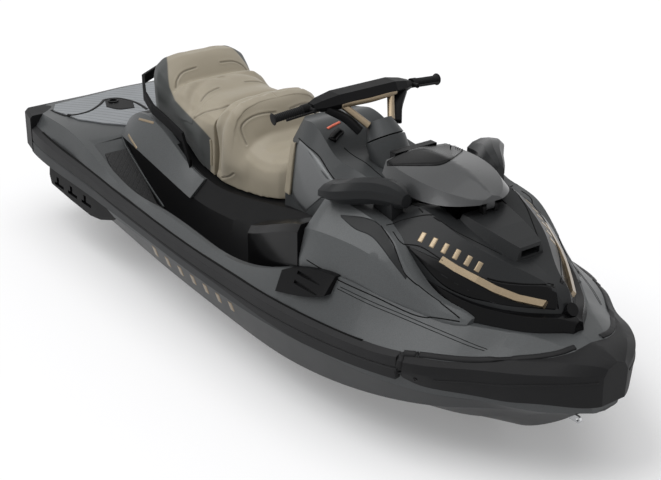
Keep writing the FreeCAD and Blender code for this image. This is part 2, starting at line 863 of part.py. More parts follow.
# Blank disc on the nose
NOSE_DISC_SHARES = (0.878, 0.0, 0.612)
disc_angle = math.radians(size("disc_tilt"))
disc_axis = Vector(math.cos(disc_angle), 0, math.sin(disc_angle))
disc_centre = place(*NOSE_DISC_SHARES)
disc = rod(
    disc_centre - disc_axis * size("disc_root"),
    disc_centre + disc_axis * size("disc_thickness"),
    size("disc_radius"),
)
sub_part("nose_disc", one_solid(disc.cut(hood_body).cut(nose_body).cut(deck_body)))

# Side vents: x; low y, z; high y, z
VENT_SHARES = [
    (0.31, 0.985, 0.47, 0.93, 0.55),
    (0.35, 0.975, 0.485, 0.905, 0.58),
    (0.41, 0.955, 0.51, 0.87, 0.605),
    (0.46, 0.915, 0.54, 0.83, 0.605),
]
VENT_INNER_SHARE = 0.75


def vent_ring(row):
    x, low_y, low_z, high_y, high_z = row
    section = [
        (-VENT_INNER_SHARE, low_z),
        (-low_y, low_z),
        (-high_y, high_z),
        (-VENT_INNER_SHARE, high_z),
    ]
    return side_ring(x, section)


vent = lofted([vent_ring(row) for row in VENT_SHARES]).cut(deck_body).cut(fairing_body)
# x of both ends, outer y, z of each slot
VENT_SLOT_SHARES = [(0.36, 0.44, 0.945, 0.53), (0.36, 0.435, 0.915, 0.564)]
for x_rear, x_front, y, z in VENT_SLOT_SHARES:
    slot_low = place(x_rear, -y, z) - Vector(0, size("rail_thickness"), 0)
    slot_high = place(x_front, -y, z) + Vector(0, size("vent_slot_depth"), size("vent_slot_height"))
    vent = vent.cut(box(slot_low, slot_high))
vent = one_solid(vent)
sub_part("side_vents", Part.makeCompound([vent, port_copy(vent)]))

# Shin pods in the front of the footwells: x; inner y; outer y; low z; high z
POD_SHARES = [
    (0.1, 0.62, 0.79, 0.4, 0.58),
    (0.16, 0.64, 0.815, 0.37, 0.62),
    (0.24, 0.66, 0.84, 0.36, 0.68),
    (0.335, 0.68, 0.86, 0.4, 0.74),
]
POD_BEVEL_SHARE = 0.03


def pod_ring(row):
    x, inner_y, outer_y, low_z, high_z = row
    section = [
        (-inner_y, low_z),
        (-outer_y, low_z),
        (-outer_y, high_z - POD_BEVEL_SHARE),
        (-outer_y + POD_BEVEL_SHARE, high_z),
        (-inner_y, high_z),
    ]
    return side_ring(x, section)


pod = lofted([pod_ring(row) for row in POD_SHARES])
pod = one_solid(pod.cut(pedestal_body).cut(deck_floor).cut(fairing_body).cut(console_body).cut(vent))
sub_part("shin_pods", Part.makeCompound([pod, port_copy(pod)]))

# Knee pads, strips round the console's rear edges: x; foot y; shoulder y, z; top y, z
KNEE_SHARES = [
    (0.05, 0.372, 0.305, 0.86, 0.21, 0.94),
    (0.062, 0.376, 0.315, 0.86, 0.225, 0.945),
    (0.078, 0.381, 0.33, 0.87, 0.24, 0.945),
]


def knee_ring(row):
    x, foot_y, shoulder_y, shoulder_z, top_y, top_z = row
    out = Vector(0, -size("knee_pad_thickness"), 0)
    low = place(x, -foot_y, FOOT_SHARE)
    middle = place(x, -shoulder_y, shoulder_z)
    return ring([low - out, low + out, middle + out, middle - out])


knee = lofted([knee_ring(row) for row in KNEE_SHARES])
knee = one_solid(knee.cut(console_body).cut(pedestal_body))
sub_part("knee_pads", Part.makeCompound([knee, port_copy(knee)]))

# Mats: skins laid on the stern platform and on the footwell floors and ramps
DECK_MAT_PLAN_SHARES = [
    (-0.975, 0),
    (-0.975, 0.66),
    (-0.93, 0.74),
    (-0.8, 0.7),
    (-0.73, 0.58),
    (-0.665, 0.4),
    (-0.665, 0),
]
mat_rise = Vector(0, 0, size("deck_mat_thickness"))
deck_mat = deck_body.translated(mat_rise).cut(deck_body)
deck_mat = deck_mat.common(plan_prism(DECK_MAT_PLAN_SHARES, SEAM_SHARE, 0.7))


SOCKET_SHARE = -0.870588


def socket(side):
    centre = Vector(SOCKET_SHARE * half_length, side * size("socket_spread") / 2, 0)
    low = place(0, 0, DECK_SHARES[1][-1]).z - size("socket_height")
    foot = centre + Vector(0, 0, low)
    top = foot + Vector(0, 0, 2 * size("socket_height"))
    bore_foot = top - Vector(0, 0, size("socket_bore_depth"))
    outer = rod(foot, top, size("socket_radius"))
    return outer, outer.cut(rod(bore_foot, top, size("socket_bore_radius")))


sockets = [socket(side) for side in (-1, 1)]
for outer, bored in sockets:
    deck_mat = deck_mat.cut(outer)
sub_part("deck_mat", one_solid(deck_mat))
bored_sockets = [one_solid(bored.cut(deck_body)) for outer, bored in sockets]
sub_part("deck_sockets", Part.makeCompound(bored_sockets))

FOOT_MAT_PLAN_SHARES = [
    (-0.6, 0),
    (-0.6, 0.78),
    (-0.48, 0.835),
    (-0.3, 0.86),
    (0.0, 0.87),
    (0.22, 0.86),
    (0.28, 0.84),
    (0.28, 0),
]
mat_lift = Vector(0, 0, size("mat_thickness"))
foot_mat = footwell_void.cut(footwell_void.translated(mat_lift))
foot_mat = foot_mat.common(plan_prism(FOOT_MAT_PLAN_SHARES, SEAM_SHARE, 0.7)).cut(pedestal_body)
foot_mat = one_solid(foot_mat.cut(pod).cut(port_copy(pod)))
sub_part("footwell_mats", Part.makeCompound([foot_mat, port_copy(foot_mat)]))

# Grab strap from the side panels round the back of the passenger seat: x, y, z; degrees turned aft
GRAB_SHARES = [
    (-0.33, 0.475, 0.565, 0),
    (-0.36, 0.485, 0.68, 0),
    (-0.43, 0.49, 0.715, 0),
    (-0.51, 0.485, 0.74, 10),
    (-0.565, 0.46, 0.775, 30),
    (-0.62, 0.38, 0.82, 55),
    (-0.641, 0.2, 0.84, 80),
    (-0.645, 0.0, 0.845, 90),
]


def grab_ring(x, y, z, turned):
    centre = place(x, y, z)
    aft = math.radians(turned)
    inward = Vector(math.sin(aft), math.cos(aft), 0) * size("grab_thickness") / 2
    rise = up * size("grab_breadth") / 2
    return ring([
        centre - inward - rise,
        centre + inward - rise,
        centre + inward + rise,
        centre - inward + rise,
    ])


up = Vector(0, 0, 1)
side = Vector(0, 1, 0)
grab = Part.makeLoft([grab_ring(x, -y, z, turned) for x, y, z, turned in GRAB_SHARES], True, True)
grab = grab.cut(panel).cut(pedestal_body)
sub_part("grab_rail", one_solid(grab.fuse(port_copy(grab))))

# Engine
engine = primitive(
    "Part::Box",
    "engine",
    Length="Sizes.engine_length",
    Width="Sizes.engine_breadth",
    Height="Sizes.engine_height",
    Placement__Base__x="-Sizes.engine_setback - Sizes.engine_length / 2",
    Placement__Base__y="-Sizes.engine_breadth / 2",
    Placement__Base__z="Sizes.engine_base - Sizes.draft",
)
keep("engine", engine)

# Pump: straight housing, converging outlet, and stator vanes round the hub that carries the impeller


def revolved(profile, angle=360):
    """A profile of (distance aft of the tunnel, radius) pairs turned about the pump's axis."""
    points = [Vector(tunnel_front - aft, 0, pump_axis + radius) for aft, radius in profile]
    return Part.Face(ring(points)).revolve(Vector(0, 0, pump_axis), Vector(1, 0, 0), angle)


def radial_blades(count, aft, length, inner, outer, thickness, pitch_angle):
    """Flat blades between two radii, each turned about its own spoke."""
    blades = []
    middle = Vector(tunnel_front - aft - length / 2, 0, pump_axis)
    for i in range(count):
        low = Vector(-length / 2, -thickness / 2, inner)
        blade = Part.makeBox(length, thickness, outer - inner, low)
        blade.rotate(Vector(0, 0, 0), Vector(0, 0, 1), pitch_angle)
        blade.rotate(Vector(0, 0, 0), Vector(1, 0, 0), 360.0 * i / count)
        blades.append(blade.translated(middle))
    return blades


venturi_end = size("pump_length") + size("venturi_length")
pump_end = venturi_end + size("spigot_length")
bore = size("pump_bore_radius")
pump_outer = revolved([
    (0, 0),
    (0, bore + size("pump_wall")),
    (size("pump_length"), bore + size("pump_wall")),
    (venturi_end, size("venturi_radius") + size("pump_wall") / 2),
    (pump_end, size("venturi_radius") + size("pump_wall") / 2),
    (pump_end, 0),
])
impeller_aft = size("swing_gap")
stator_aft = impeller_aft + size("impeller_length") + size("swing_gap")
hub_sink = size("overrun")
stator_hub = revolved([
    (stator_aft, size("shaft_radius") + size("fit_gap")),
    (stator_aft, size("stator_hub_radius")),
    (stator_aft + size("stator_length"), size("stator_hub_radius")),
    (stator_aft + size("stator_length"), size("shaft_radius") + size("fit_gap")),
])
stator = stator_hub
for blade in radial_blades(
    int(size("stator_blades")),
    stator_aft,
    size("stator_length"),
    size("stator_hub_radius") - hub_sink,
    bore + hub_sink,
    size("stator_blade_thickness"),
    size("stator_blade_angle"),
):
    stator = stator.fuse(blade)

outlet_end = Vector(tunnel_front - pump_end, 0, pump_axis)
nozzle_pivot = outlet_end + Vector(size("nozzle_pin_setback"), 0, 0)
nozzle_pins = rod(
    nozzle_pivot - up * size("nozzle_pin_reach"),
    nozzle_pivot + up * size("nozzle_pin_reach"),
    size("nozzle_pin_radius"),
)
bucket_pivot = outlet_end + Vector(size("bucket_pin_setback"), 0, 0)
bucket_pins = rod(
    bucket_pivot - side * (size("bucket_breadth") / 2 + size("bucket_wall")),
    bucket_pivot + side * (size("bucket_breadth") / 2 + size("bucket_wall")),
    size("bucket_pin_radius"),
)
waterway = revolved([
    (-size("overrun"), 0),
    (-size("overrun"), bore),
    (size("pump_length"), bore),
    (venturi_end, size("venturi_radius")),
    (pump_end + size("pump_length"), size("venturi_radius")),
    (pump_end + size("pump_length"), 0),
])
pump_shape = pump_outer.fuse(nozzle_pins).fuse(bucket_pins).cut(waterway).fuse(stator)
sub_part("pump_housing", one_solid(pump_shape))

# Impeller on its drive shaft
impeller_hub = revolved([
    (impeller_aft, size("shaft_radius")),
    (impeller_aft, size("impeller_hub_radius")),
    (impeller_aft + size("impeller_length"), size("impeller_hub_radius")),
    (impeller_aft + size("impeller_length"), size("shaft_radius")),
])
impeller_shape = impeller_hub
for blade in radial_blades(
    int(size("impeller_blades")),
    impeller_aft,
    size("impeller_length"),
    size("impeller_hub_radius") - hub_sink,
    bore - size("impeller_tip_gap"),
    size("impeller_blade_thickness"),
    size("impeller_blade_angle"),
):
    impeller_shape = impeller_shape.fuse(blade)
envelope = revolved([
    (impeller_aft, size("shaft_radius")),
    (impeller_aft, bore - size("impeller_tip_gap")),
    (impeller_aft + size("impeller_length"), bore - size("impeller_tip_gap")),
    (impeller_aft + size("impeller_length"), size("shaft_radius")),
])
sub_part("impeller", one_solid(impeller_shape.common(envelope)))
shaft_end = stator_aft + size("stator_length") - size("swing_gap")
shaft_start = engine_low.x - size("swing_gap")
drive_shaft = rod(
    Vector(tunnel_front - shaft_end, 0, pump_axis),
    Vector(shaft_start, 0, pump_axis),
    size("shaft_radius"),
)
sub_part("drive_shaft", drive_shaft)

# Steering nozzle, turning on the upright pins at the outlet's end
mouth = pump_end - size("nozzle_overlap")
outlet = mouth + size("nozzle_length")
nozzle_shape = revolved([
    (mouth, size("nozzle_mouth_radius")),
    (mouth, size("nozzle_mouth_radius") + size("nozzle_wall")),
    (outlet, size("nozzle_outlet_radius") + size("nozzle_wall")),
    (outlet, size("nozzle_outlet_radius")),
])
nozzle_ears = rod(
    nozzle_pivot - up * size("nozzle_pin_reach"),
    nozzle_pivot + up * size("nozzle_pin_reach"),
    2 * size("nozzle_pin_radius"),
)
nozzle_core = revolved([
    (0, 0),
    (0, size("nozzle_mouth_radius") + size("nozzle_wall") / 2),
    (mouth, size("nozzle_mouth_radius") + size("nozzle_wall") / 2),
    (mouth, size("nozzle_mouth_radius")),
    (outlet, size("nozzle_outlet_radius")),
    (outlet, 0),
])
pin_holes = rod(
    nozzle_pivot - up * bore * 2,
    nozzle_pivot + up * bore * 2,
    size("nozzle_pin_radius") + size("fit_gap"),
)
nozzle_shape = nozzle_shape.fuse(nozzle_ears.cut(nozzle_core)).cut(pin_holes)
sub_part("steering_nozzle", one_solid(nozzle_shape))

# Reverse bucket, raised above the nozzle


def bucket_sector(radius, breadth):
    """A slice of a drum about the bucket's pivot, between its low and high angles above the stern."""
    low = math.radians(size("bucket_low_angle"))
    high = math.radians(size("bucket_high_angle"))
    middle = (low + high) / 2
    rim = [Vector(-math.cos(a) * radius, 0, math.sin(a) * radius) for a in (low, middle, high)]
    edges = [
        Part.LineSegment(Vector(0, 0, 0), rim[0]).toShape(),
        Part.Arc(rim[0], rim[1], rim[2]).toShape(),
        Part.LineSegment(rim[2], Vector(0, 0, 0)).toShape(),
    ]
    face = Part.Face(Part.Wire(edges)).translated(bucket_pivot - side * breadth / 2)
    return face.extrude(side * breadth)


bucket_outer = bucket_sector(size("bucket_radius") + size("bucket_wall"), size("bucket_breadth"))
bucket_room = size("bucket_breadth") - 2 * size("bucket_wall")
bucket_inner = bucket_sector(2 * size("bucket_radius"), bucket_room)
bucket_hollow = rod(
    bucket_pivot - side * size("bucket_breadth"),
    bucket_pivot + side * size("bucket_breadth"),
    size("bucket_radius"),
)
bucket_eyes = rod(
    bucket_pivot - side * size("bucket_breadth") / 2,
    bucket_pivot + side * size("bucket_breadth") / 2,
    2 * size("bucket_pin_radius"),
)
eye_gap = box(
    bucket_pivot - Vector(bore, size("bucket_breadth") / 2 - size("bucket_wall"), bore),
    bucket_pivot + Vector(bore, size("bucket_breadth") / 2 - size("bucket_wall"), bore),
)
bucket_shape = bucket_outer.fuse(bucket_eyes.cut(eye_gap))
bucket_shape = bucket_shape.cut(bucket_inner.common(bucket_hollow)).cut(eye_gap).cut(
    rod(
        bucket_pivot - side * size("bucket_breadth"),
        bucket_pivot + side * size("bucket_breadth"),
        size("bucket_pin_radius") + size("fit_gap"),
    )
)
sub_part("reverse_bucket", one_solid(bucket_shape))

# Ride plate closing the tunnel from below, and the grate in the intake

ride_plate = primitive(
    "Part::Box",
    "ride_plate",
    Length="Sizes.ride_plate_length",
    Width="Sizes.tunnel_breadth - 2 * Sizes.fit_gap",
    Height="Sizes.ride_plate_thickness",
    Placement__Base__x="-Sizes.hull_length / 2 + Sizes.tunnel_length"
    " - Sizes.fit_gap - Sizes.ride_plate_length",
    Placement__Base__y="-Sizes.tunnel_breadth / 2 + Sizes.fit_gap",
    Placement__Base__z="-Sizes.draft",
)
keep("ride_plate", ride_plate)

grate_low = level(size("overrun"))
grate_block = box(
    Vector(intake_rear - size("grate_frame"), -size("intake_breadth") / 2, grate_low),
    Vector(intake_front, size("intake_breadth") / 2, grate_low + size("grate_bar_depth")),
)
grate = grate_block
bars = int(size("grate_bars"))
slot = (size("intake_breadth") - 2 * size("grate_frame") + size("grate_bar_breadth")) / (bars + 1)
for i in range(bars + 1):
    left = -size("intake_breadth") / 2 + size("grate_frame") + i * slot
    grate = grate.cut(
        box(
            Vector(intake_rear, left, 2 * keel_level),
            Vector(intake_front - size("grate_heel"), left + slot - size("grate_bar_breadth"), 0),
        )
    )
sub_part("intake_grate", one_solid(grate.cut(hull_shape)))

# Sponsons at the stern chines, with hooked slots through the wing
SPONSON_SHARES = [
    (-0.82, 0.36),
    (-0.825, 0.31),
    (-0.815, 0.268),
    (-0.7, 0.248),
    (-0.588, 0.236),
    (-0.528, 0.25),
    (-0.455, 0.292),
    (-0.42, 0.335),
    (-0.42, 0.36),
]
SPONSON_SLOT_SHARES = [-0.795, -0.715, -0.635]
SPONSON_SLOT_FOOT_SHARE = 0.275
# an upright hook on a flat foot, in shares of a slot's length and height
SPONSON_HOOK_SHARES = [(0, 0), (1, 0), (1, 0.34), (0.5, 0.34), (0.5, 1), (0.25, 1), (0.25, 0.34), (0, 0.34)]
SPONSON_OUTER_SHARE = 0.96
sponson_points = [place(x, -SPONSON_OUTER_SHARE, z) for x, z in SPONSON_SHARES]
sponson = prism(sponson_points, Vector(0, size("sponson_breadth"), 0))
for x_share in SPONSON_SLOT_SHARES:
    corner = place(x_share, -SPONSON_OUTER_SHARE, SPONSON_SLOT_FOOT_SHARE)
    hook = [
        corner + Vector(x * size("sponson_slot_length"), 0, z * size("sponson_slot_height"))
        for x, z in SPONSON_HOOK_SHARES
    ]
    sponson = sponson.cut(prism(hook, Vector(0, size("sponson_breadth") / 4, 0)))
sponson = one_solid(sponson.cut(hull_body).cut(deck_body).cut(rail))
sub_part("sponsons", Part.makeCompound([sponson, port_copy(sponson)]))

# Boarding ladder folded up against the transom, on a pin between two brackets

ladder_x = stern - size("bumper_thickness") / 2
ladder_foot = Vector(ladder_x, size("ladder_offset"), level(size("ladder_hinge_height")))
ladder_half = side * size("ladder_breadth") / 2
ladder_rise = up * size("ladder_height")


def ladder_knuckle(centre):
    half = side * size("ladder_tube_radius")
    return rod(centre - half, centre + half, size("ladder_knuckle_radius"))


ladder_shape = bent_rod(
    [
        ladder_foot - ladder_half,
        ladder_foot - ladder_half + ladder_rise,
        ladder_foot + ladder_half + ladder_rise,
        ladder_foot + ladder_half,
    ],
    size("ladder_tube_radius"),
    3 * size("ladder_tube_radius"),
)
for end in (ladder_foot - ladder_half, ladder_foot + ladder_half):
    ladder_shape = ladder_shape.fuse(ladder_knuckle(end))
ladder_pin = rod(
    ladder_foot - ladder_half - side * size("ladder_bracket_breadth"),
    ladder_foot + ladder_half + side * size("ladder_bracket_breadth"),
    size("ladder_pin_radius"),
)
ladder_bore = rod(
    ladder_foot - ladder_half * 2,
    ladder_foot + ladder_half * 2,
    size("ladder_pin_radius") + size("fit_gap"),
)
ladder_shape = ladder_shape.cut(ladder_bore)
sub_part("boarding_ladder", one_solid(ladder_shape))

ladder_bracket = ladder_pin
for outward in (-1, 1):
    centre = ladder_foot + outward * (ladder_half + side * size("ladder_bracket_breadth"))
    half_plate = side * size("ladder_bracket_thickness") / 2
    plate = rod(centre - half_plate, centre + half_plate, size("ladder_knuckle_radius"))
    web_half = up * size("ladder_knuckle_radius")
    web_reach = Vector(size("bumper_thickness") / 2, 0, 0)
    web = box(centre - half_plate - web_half, centre + half_plate + web_half + web_reach)
    ladder_bracket = ladder_bracket.fuse(plate).fuse(web)
sub_part("ladder_bracket", one_solid(ladder_bracket))

# Tow eyes on the transom and the eye on the stem


def eye(centre, root_direction):
    """A drilled plate whose root runs into the hull."""
    half = side * size("eye_plate_thickness") / 2
    plate = rod(centre - half, centre + half, size("eye_outer_radius"))
    tall = up * size("eye_outer_radius")
    root = box(centre - half - tall, centre + half + tall + Vector(size("eye_root"), 0, 0))
    if root_direction < 0:
        root = root.mirror(centre, Vector(1, 0, 0))
    hole = rod(centre - half * 2, centre + half * 2, size("eye_bore_radius"))
    return plate.fuse(root).cut(hole).cut(hull_body)


stern_eye_centre = Vector(
    transom - size("eye_reach"),
    -size("stern_eye_spread") / 2,
    level(size("stern_eye_height")),
)
stern_eye = one_solid(eye(stern_eye_centre, 1))
sub_part("stern_eyes", Part.makeCompound([stern_eye, port_copy(stern_eye)]))



def stem_at(height):
    """How far forward the stem is at a height above the keel."""
    share = height / size("bar_height")
    for rear, front in zip(HULL_SHARES, HULL_SHARES[1:]):
        if rear[1] <= share < front[1]:
            part = (share - rear[1]) / (front[1] - rear[1])
            return (rear[0] * (1 - part) + front[0] * part) * half_length
    return half_length


bow_eye_reach = stem_at(size("bow_eye_height")) + size("eye_outer_radius") + size("eye_reach")
bow_eye_centre = Vector(bow_eye_reach, 0, level(size("bow_eye_height")))
sub_part("bow_eye", one_solid(eye(bow_eye_centre, -1)))

# Steering column and handlebar, all turning about the column's axis

cone_foot = boss_top + column_up * size("swing_gap")
cone_top = cone_foot + column_up * size("column_cone_height")
cone = Part.makeCone(
    size("column_cone_base_radius"),
    size("column_cone_top_radius"),
    size("column_cone_height"),
    cone_foot,
    column_up,
)
shaft_foot = column_foot - column_up * size("column_shaft_length") / 2
shaft_top = cone_foot + column_up * size("column_cone_height") / 2
shaft = rod(shaft_foot, shaft_top, size("column_shaft_radius"))
sub_part("steering_column", one_solid(cone.fuse(shaft)))

BAR_END_SHARES = (0.16, 0.693, 1.051)
BAR_BEND_SHARES = (0.178, 0.235, 1.083)
bar_end = place(*BAR_END_SHARES)
bar_bend = place(*BAR_BEND_SHARES)


def starboard(point):
    return Vector(point.x, -point.y, point.z)


bar_points = [bar_end, bar_bend, starboard(bar_bend), starboard(bar_end)]
bar = bent_rod(bar_points, size("bar_radius"), 3 * size("bar_radius"))
ARM_FOOT_SHARE = 0.4
arms = []
for point in (bar_bend, starboard(bar_bend)):
    foot = cone_top - column_up * size("bar_radius") + side * point.y * ARM_FOOT_SHARE
    arms.append((foot, point))
    bar = bar.fuse(rod(foot, point, size("bar_arm_radius")))
bar = sub_part("handlebar", one_solid(bar.cut(cone)))

# Pad along the bar: share of its half breadth; share of its full section
PAD_SHARES = [(-1, 0.5), (-0.85, 0.78), (-0.57, 1), (0.57, 1), (0.85, 0.78), (1, 0.5)]
PAD_CORNER_SHARES = [(-1, -0.5), (-0.6, -1), (0.7, -1), (1, -0.1), (0.6, 1), (-0.7, 1), (-1, 0.4)]


def bar_point(y):
    """The bar's middle at a distance to the side."""
    if abs(y) <= bar_bend.y:
        return Vector(bar_bend.x, y, bar_bend.z)
    part = (abs(y) - bar_bend.y) / (bar_end.y - bar_bend.y)
    point = bar_bend + (bar_end - bar_bend) * part
    return Vector(point.x, y, point.z)


def pad_ring(along, fullness):
    centre = bar_point(along * size("bar_pad_breadth") / 2)
    deep = size("bar_pad_depth") / 2 * fullness
    tall = size("bar_pad_height") / 2 * fullness
    return ring([centre + Vector(deep * a, 0, tall * b) for a, b in PAD_CORNER_SHARES])


bar_pad = Part.makeLoft([pad_ring(*row) for row in PAD_SHARES], True, True)
sub_part("bar_pad", one_solid(bar_pad.cut(bar)))

# Trims: half sleeves over the front of the yoke's arms
trims = []
for foot, point in arms:
    sleeve = rod(foot, point, size("bar_arm_radius") + size("bar_trim_thickness"))
    along = (point - foot).normalize()
    rearward = side.cross(along).normalize() * 2 * size("bar_arm_radius")
    if rearward.x > 0:
        rearward = -rearward
    across = along.cross(rearward).normalize() * 2 * size("bar_arm_radius")
    reach = along * (point - foot).Length
    sheet_corners = [foot - across, foot + across, foot + across + reach, foot - across + reach]
    behind = prism(sheet_corners, rearward)
    trims.append(one_solid(sleeve.cut(behind).cut(bar).cut(bar_pad).cut(cone)))
sub_part("bar_trims", Part.makeCompound(trims))

grips = []
levers = []
for end, bend in ((bar_end, bar_bend), (starboard(bar_end), starboard(bar_bend))):
    inward = (bend - end).normalize()
    sleeve = rod(end, end + inward * size("grip_length"), size("grip_radius"))
    flange = rod(end, end + inward * size("grip_flange_thickness"), size("grip_flange_radius"))
    grips.append(one_solid(sleeve.fuse(flange).cut(bar)))
    clamp_start = end + inward * (size("grip_length") + size("fit_gap"))
    clamp_end = clamp_start + inward * size("lever_clamp_length")
    clamp = rod(clamp_start, clamp_end, size("lever_clamp_radius"))
    forward = Vector(size("lever_reach"), 0, 0)
    blade = rod(clamp_end, clamp_end + forward, size("lever_thickness"))
    tip = clamp_end + forward - inward * size("lever_length")
    blade = blade.fuse(rod(clamp_end + forward, tip, size("lever_thickness") / 2))
    levers.append(one_solid(clamp.fuse(blade).cut(bar)))
sub_part("grips", Part.makeCompound(grips))
sub_part("levers", Part.makeCompound(levers))

# Visor lid over the front bin, hinged at its front: x; foot y, z; brow y, z; crest z
LID_SHARES = [
    (0.376, 0.28, 0.89, 0.25, 0.94, 0.955),
    (0.44, 0.32, 0.875, 0.28, 0.935, 0.965),
    (0.518, 0.32, 0.868, 0.27, 0.925, 0.96),
    (0.588, 0.25, 0.874, 0.19, 0.908, 0.93),
    (0.628, 0.09, 0.878, 0.06, 0.892, 0.904),
]


def lid_ring(row):
    x, foot_y, foot_z, brow_y, brow_z, crest_z = row
    half = [(0, foot_z), (foot_y, foot_z), (brow_y, brow_z), (0, crest_z)]
    return symmetric_ring(x, half)


lid_body = lofted([lid_ring(row) for row in LID_SHARES])
LID_HINGE_SHARES = (0.6188, 0, 0.855)
hinge = place(*LID_HINGE_SHARES)
knuckle_half = side * size("lid_knuckle_length") / 2
knuckle = rod(hinge - knuckle_half, hinge + knuckle_half, size("lid_knuckle_radius"))
knuckle_web = box(
    hinge - knuckle_half - Vector(size("lid_knuckle_radius"), 0, 0),
    hinge + knuckle_half + Vector(size("lid_knuckle_radius"), 0, 3 * size("lid_knuckle_radius")),
)
pin_bore_radius = size("lid_pin_radius") + size("fit_gap")
pin_bore = rod(hinge - knuckle_half * 2, hinge + knuckle_half * 2, pin_bore_radius)
lid = lid_body.fuse(knuckle.fuse(knuckle_web)).cut(pin_bore)
sub_part("storage_lid", one_solid(lid))

bracket = rod(
    hinge - knuckle_half - side * size("lid_arm_thickness"),
    hinge + knuckle_half + side * size("lid_arm_thickness"),
    size("lid_pin_radius"),
)
for outward in (-1, 1):
    inner = hinge + outward * (knuckle_half + side * size("fit_gap") * 2)
    outer = hinge + outward * (knuckle_half + side * size("lid_arm_thickness"))
    arm_half = Vector(size("lid_knuckle_radius"), 0, 0)
    arm_side = [inner - arm_half, inner + arm_half, outer + arm_half, outer - arm_half]
    arm_foot = Vector(0, 0, place(0, 0, TOPSIDE_BASE_SHARE).z - hinge.z)
    arm_head = rod(inner, outer, size("lid_knuckle_radius"))
    bracket = bracket.fuse(prism(arm_side, arm_foot)).fuse(arm_head)
sub_part("lid_hinge", one_solid(bracket.cut(hood_body)))

# Gauge at the rear face of the lid
gauge_top = place(LID_SHARES[0][0], 0, LID_SHARES[0][-1])
gauge = box(
    gauge_top - Vector(size("gauge_depth"), size("gauge_breadth") / 2, size("gauge_height")),
    gauge_top + Vector(0, size("gauge_breadth") / 2, 0),
)
sub_part("gauge", gauge)

# Mirrors: x; centre y, z; half breadth, half height
MIRROR_SHARES = [
    (0.353, 0.62, 0.865, 0.125, 0.036),
    (0.385, 0.6, 0.872, 0.13, 0.046),
    (0.435, 0.505, 0.885, 0.115, 0.054),
    (0.47, 0.435, 0.885, 0.088, 0.05),
    (0.495, 0.405, 0.876, 0.062, 0.042),
    (0.508, 0.39, 0.868, 0.04, 0.028),
]
MIRROR_FOOT_SHARES = [(0.43, 0.7), (0.43, 0.87), (0.49, 0.87), (0.5, 0.7)]
MIRROR_FOOT_SIDES_SHARES = (0.38, 0.47)
MIRROR_SIDES = 10


def mirror_ring(row, inset=0):
    x, y, z, half_y, half_z = row
    points = []
    for i in range(MIRROR_SIDES):
        angle = 2 * math.pi * (i + 0.5) / MIRROR_SIDES
        point = place(x, -y + half_y * math.cos(angle), z + half_z * math.sin(angle))
        centre = place(x, -y, z)
        points.append(point + (centre - point).normalize() * inset)
    return ring(points)


mirror = lofted([mirror_ring(row) for row in MIRROR_SHARES])
foot_inner, foot_outer = MIRROR_FOOT_SIDES_SHARES
foot_points = [place(x, -foot_inner, z) for x, z in MIRROR_FOOT_SHARES]
mirror = mirror.fuse(prism(foot_points, Vector(0, (foot_inner - foot_outer) * half_breadth, 0)))
mirror = one_solid(mirror.cut(fairing_body).cut(hood_body).cut(console_body))
sub_part("mirrors", Part.makeCompound([mirror, port_copy(mirror)]))
glass_outline = Part.Face(mirror_ring(MIRROR_SHARES[0], size("mirror_rim")))
glass = glass_outline.extrude(Vector(-size("mirror_glass_thickness"), 0, 0))
glass = one_solid(glass.cut(fairing_body).cut(console_body))
sub_part("mirror_glass", Part.makeCompound([glass, port_copy(glass)]))

doc.recompute()
broken = [item.Label for item in doc.Objects if "Invalid" in item.State or "Error" in item.State]
broken += [label for label, piece in nodes.items() if piece.Shape.isNull() or not piece.Shape.isValid()]
if broken:
    raise RuntimeError("these pieces did not build: " + ", ".join(broken))
os.makedirs("parts", exist_ok=True)
for label, piece in nodes.items():
    print(label, len(piece.Shape.Solids), round(piece.Shape.Volume / 1e6, 3))
    piece.Shape.exportStep("parts/%s.step" % label)
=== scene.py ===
"""A three-seat personal watercraft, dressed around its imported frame."""

import math

import bmesh
import bpy
import numpy as np
from bpy.props import FloatProperty, FloatVectorProperty, PointerProperty
from mathutils import Matrix, Vector
from mathutils.bvhtree import BVHTree


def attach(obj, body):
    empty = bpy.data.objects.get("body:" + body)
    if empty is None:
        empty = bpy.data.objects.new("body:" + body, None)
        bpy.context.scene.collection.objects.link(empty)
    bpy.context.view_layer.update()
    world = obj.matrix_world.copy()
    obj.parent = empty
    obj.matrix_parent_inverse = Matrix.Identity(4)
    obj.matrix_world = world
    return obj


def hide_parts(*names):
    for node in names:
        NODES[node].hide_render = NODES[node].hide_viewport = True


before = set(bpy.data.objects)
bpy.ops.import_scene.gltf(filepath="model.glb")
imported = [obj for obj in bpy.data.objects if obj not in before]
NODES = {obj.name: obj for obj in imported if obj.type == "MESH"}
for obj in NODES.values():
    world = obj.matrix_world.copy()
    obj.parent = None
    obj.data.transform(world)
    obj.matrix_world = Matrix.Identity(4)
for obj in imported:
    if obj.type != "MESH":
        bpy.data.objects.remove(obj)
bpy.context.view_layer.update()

bl_info = {
    "name": "Personal Watercraft",
    "version": (1, 0, 0),
    "blender": (4, 5, 0),
    "location": "View3D > Sidebar > Watercraft",
    "description": "Dresses the frame of a personal watercraft with its finishes, seats and trims",
    "category": "Object",
}

# Height of the keel over the origin, which is on the still waterline
KEEL = -0.232

# The camera's place, its axes, its lens in millimetres and the picture it frames
CAMERA_PLACE = np.array((4.474, -3.327, 2.678))
CAMERA_RIGHT = np.array((0.6026, 0.7980, 0.0069))
CAMERA_UP = np.array((-0.3394, 0.2484, 0.9072))
CAMERA_LENS = 76.82
SENSOR = 36.0
PICTURE = (661, 480)

# Height of the paint line along the rails at mid-length, and how it changes with x
PAINT_LINE_HEIGHT = 0.136
PAINT_LINE_FALL = -0.04

# Enlargements that places were measured in: left, top and pixels of the picture for each of theirs
FRONT = (250.0, 60.0, 0.2621)
REAR = (0.0, 60.0, 0.2105)


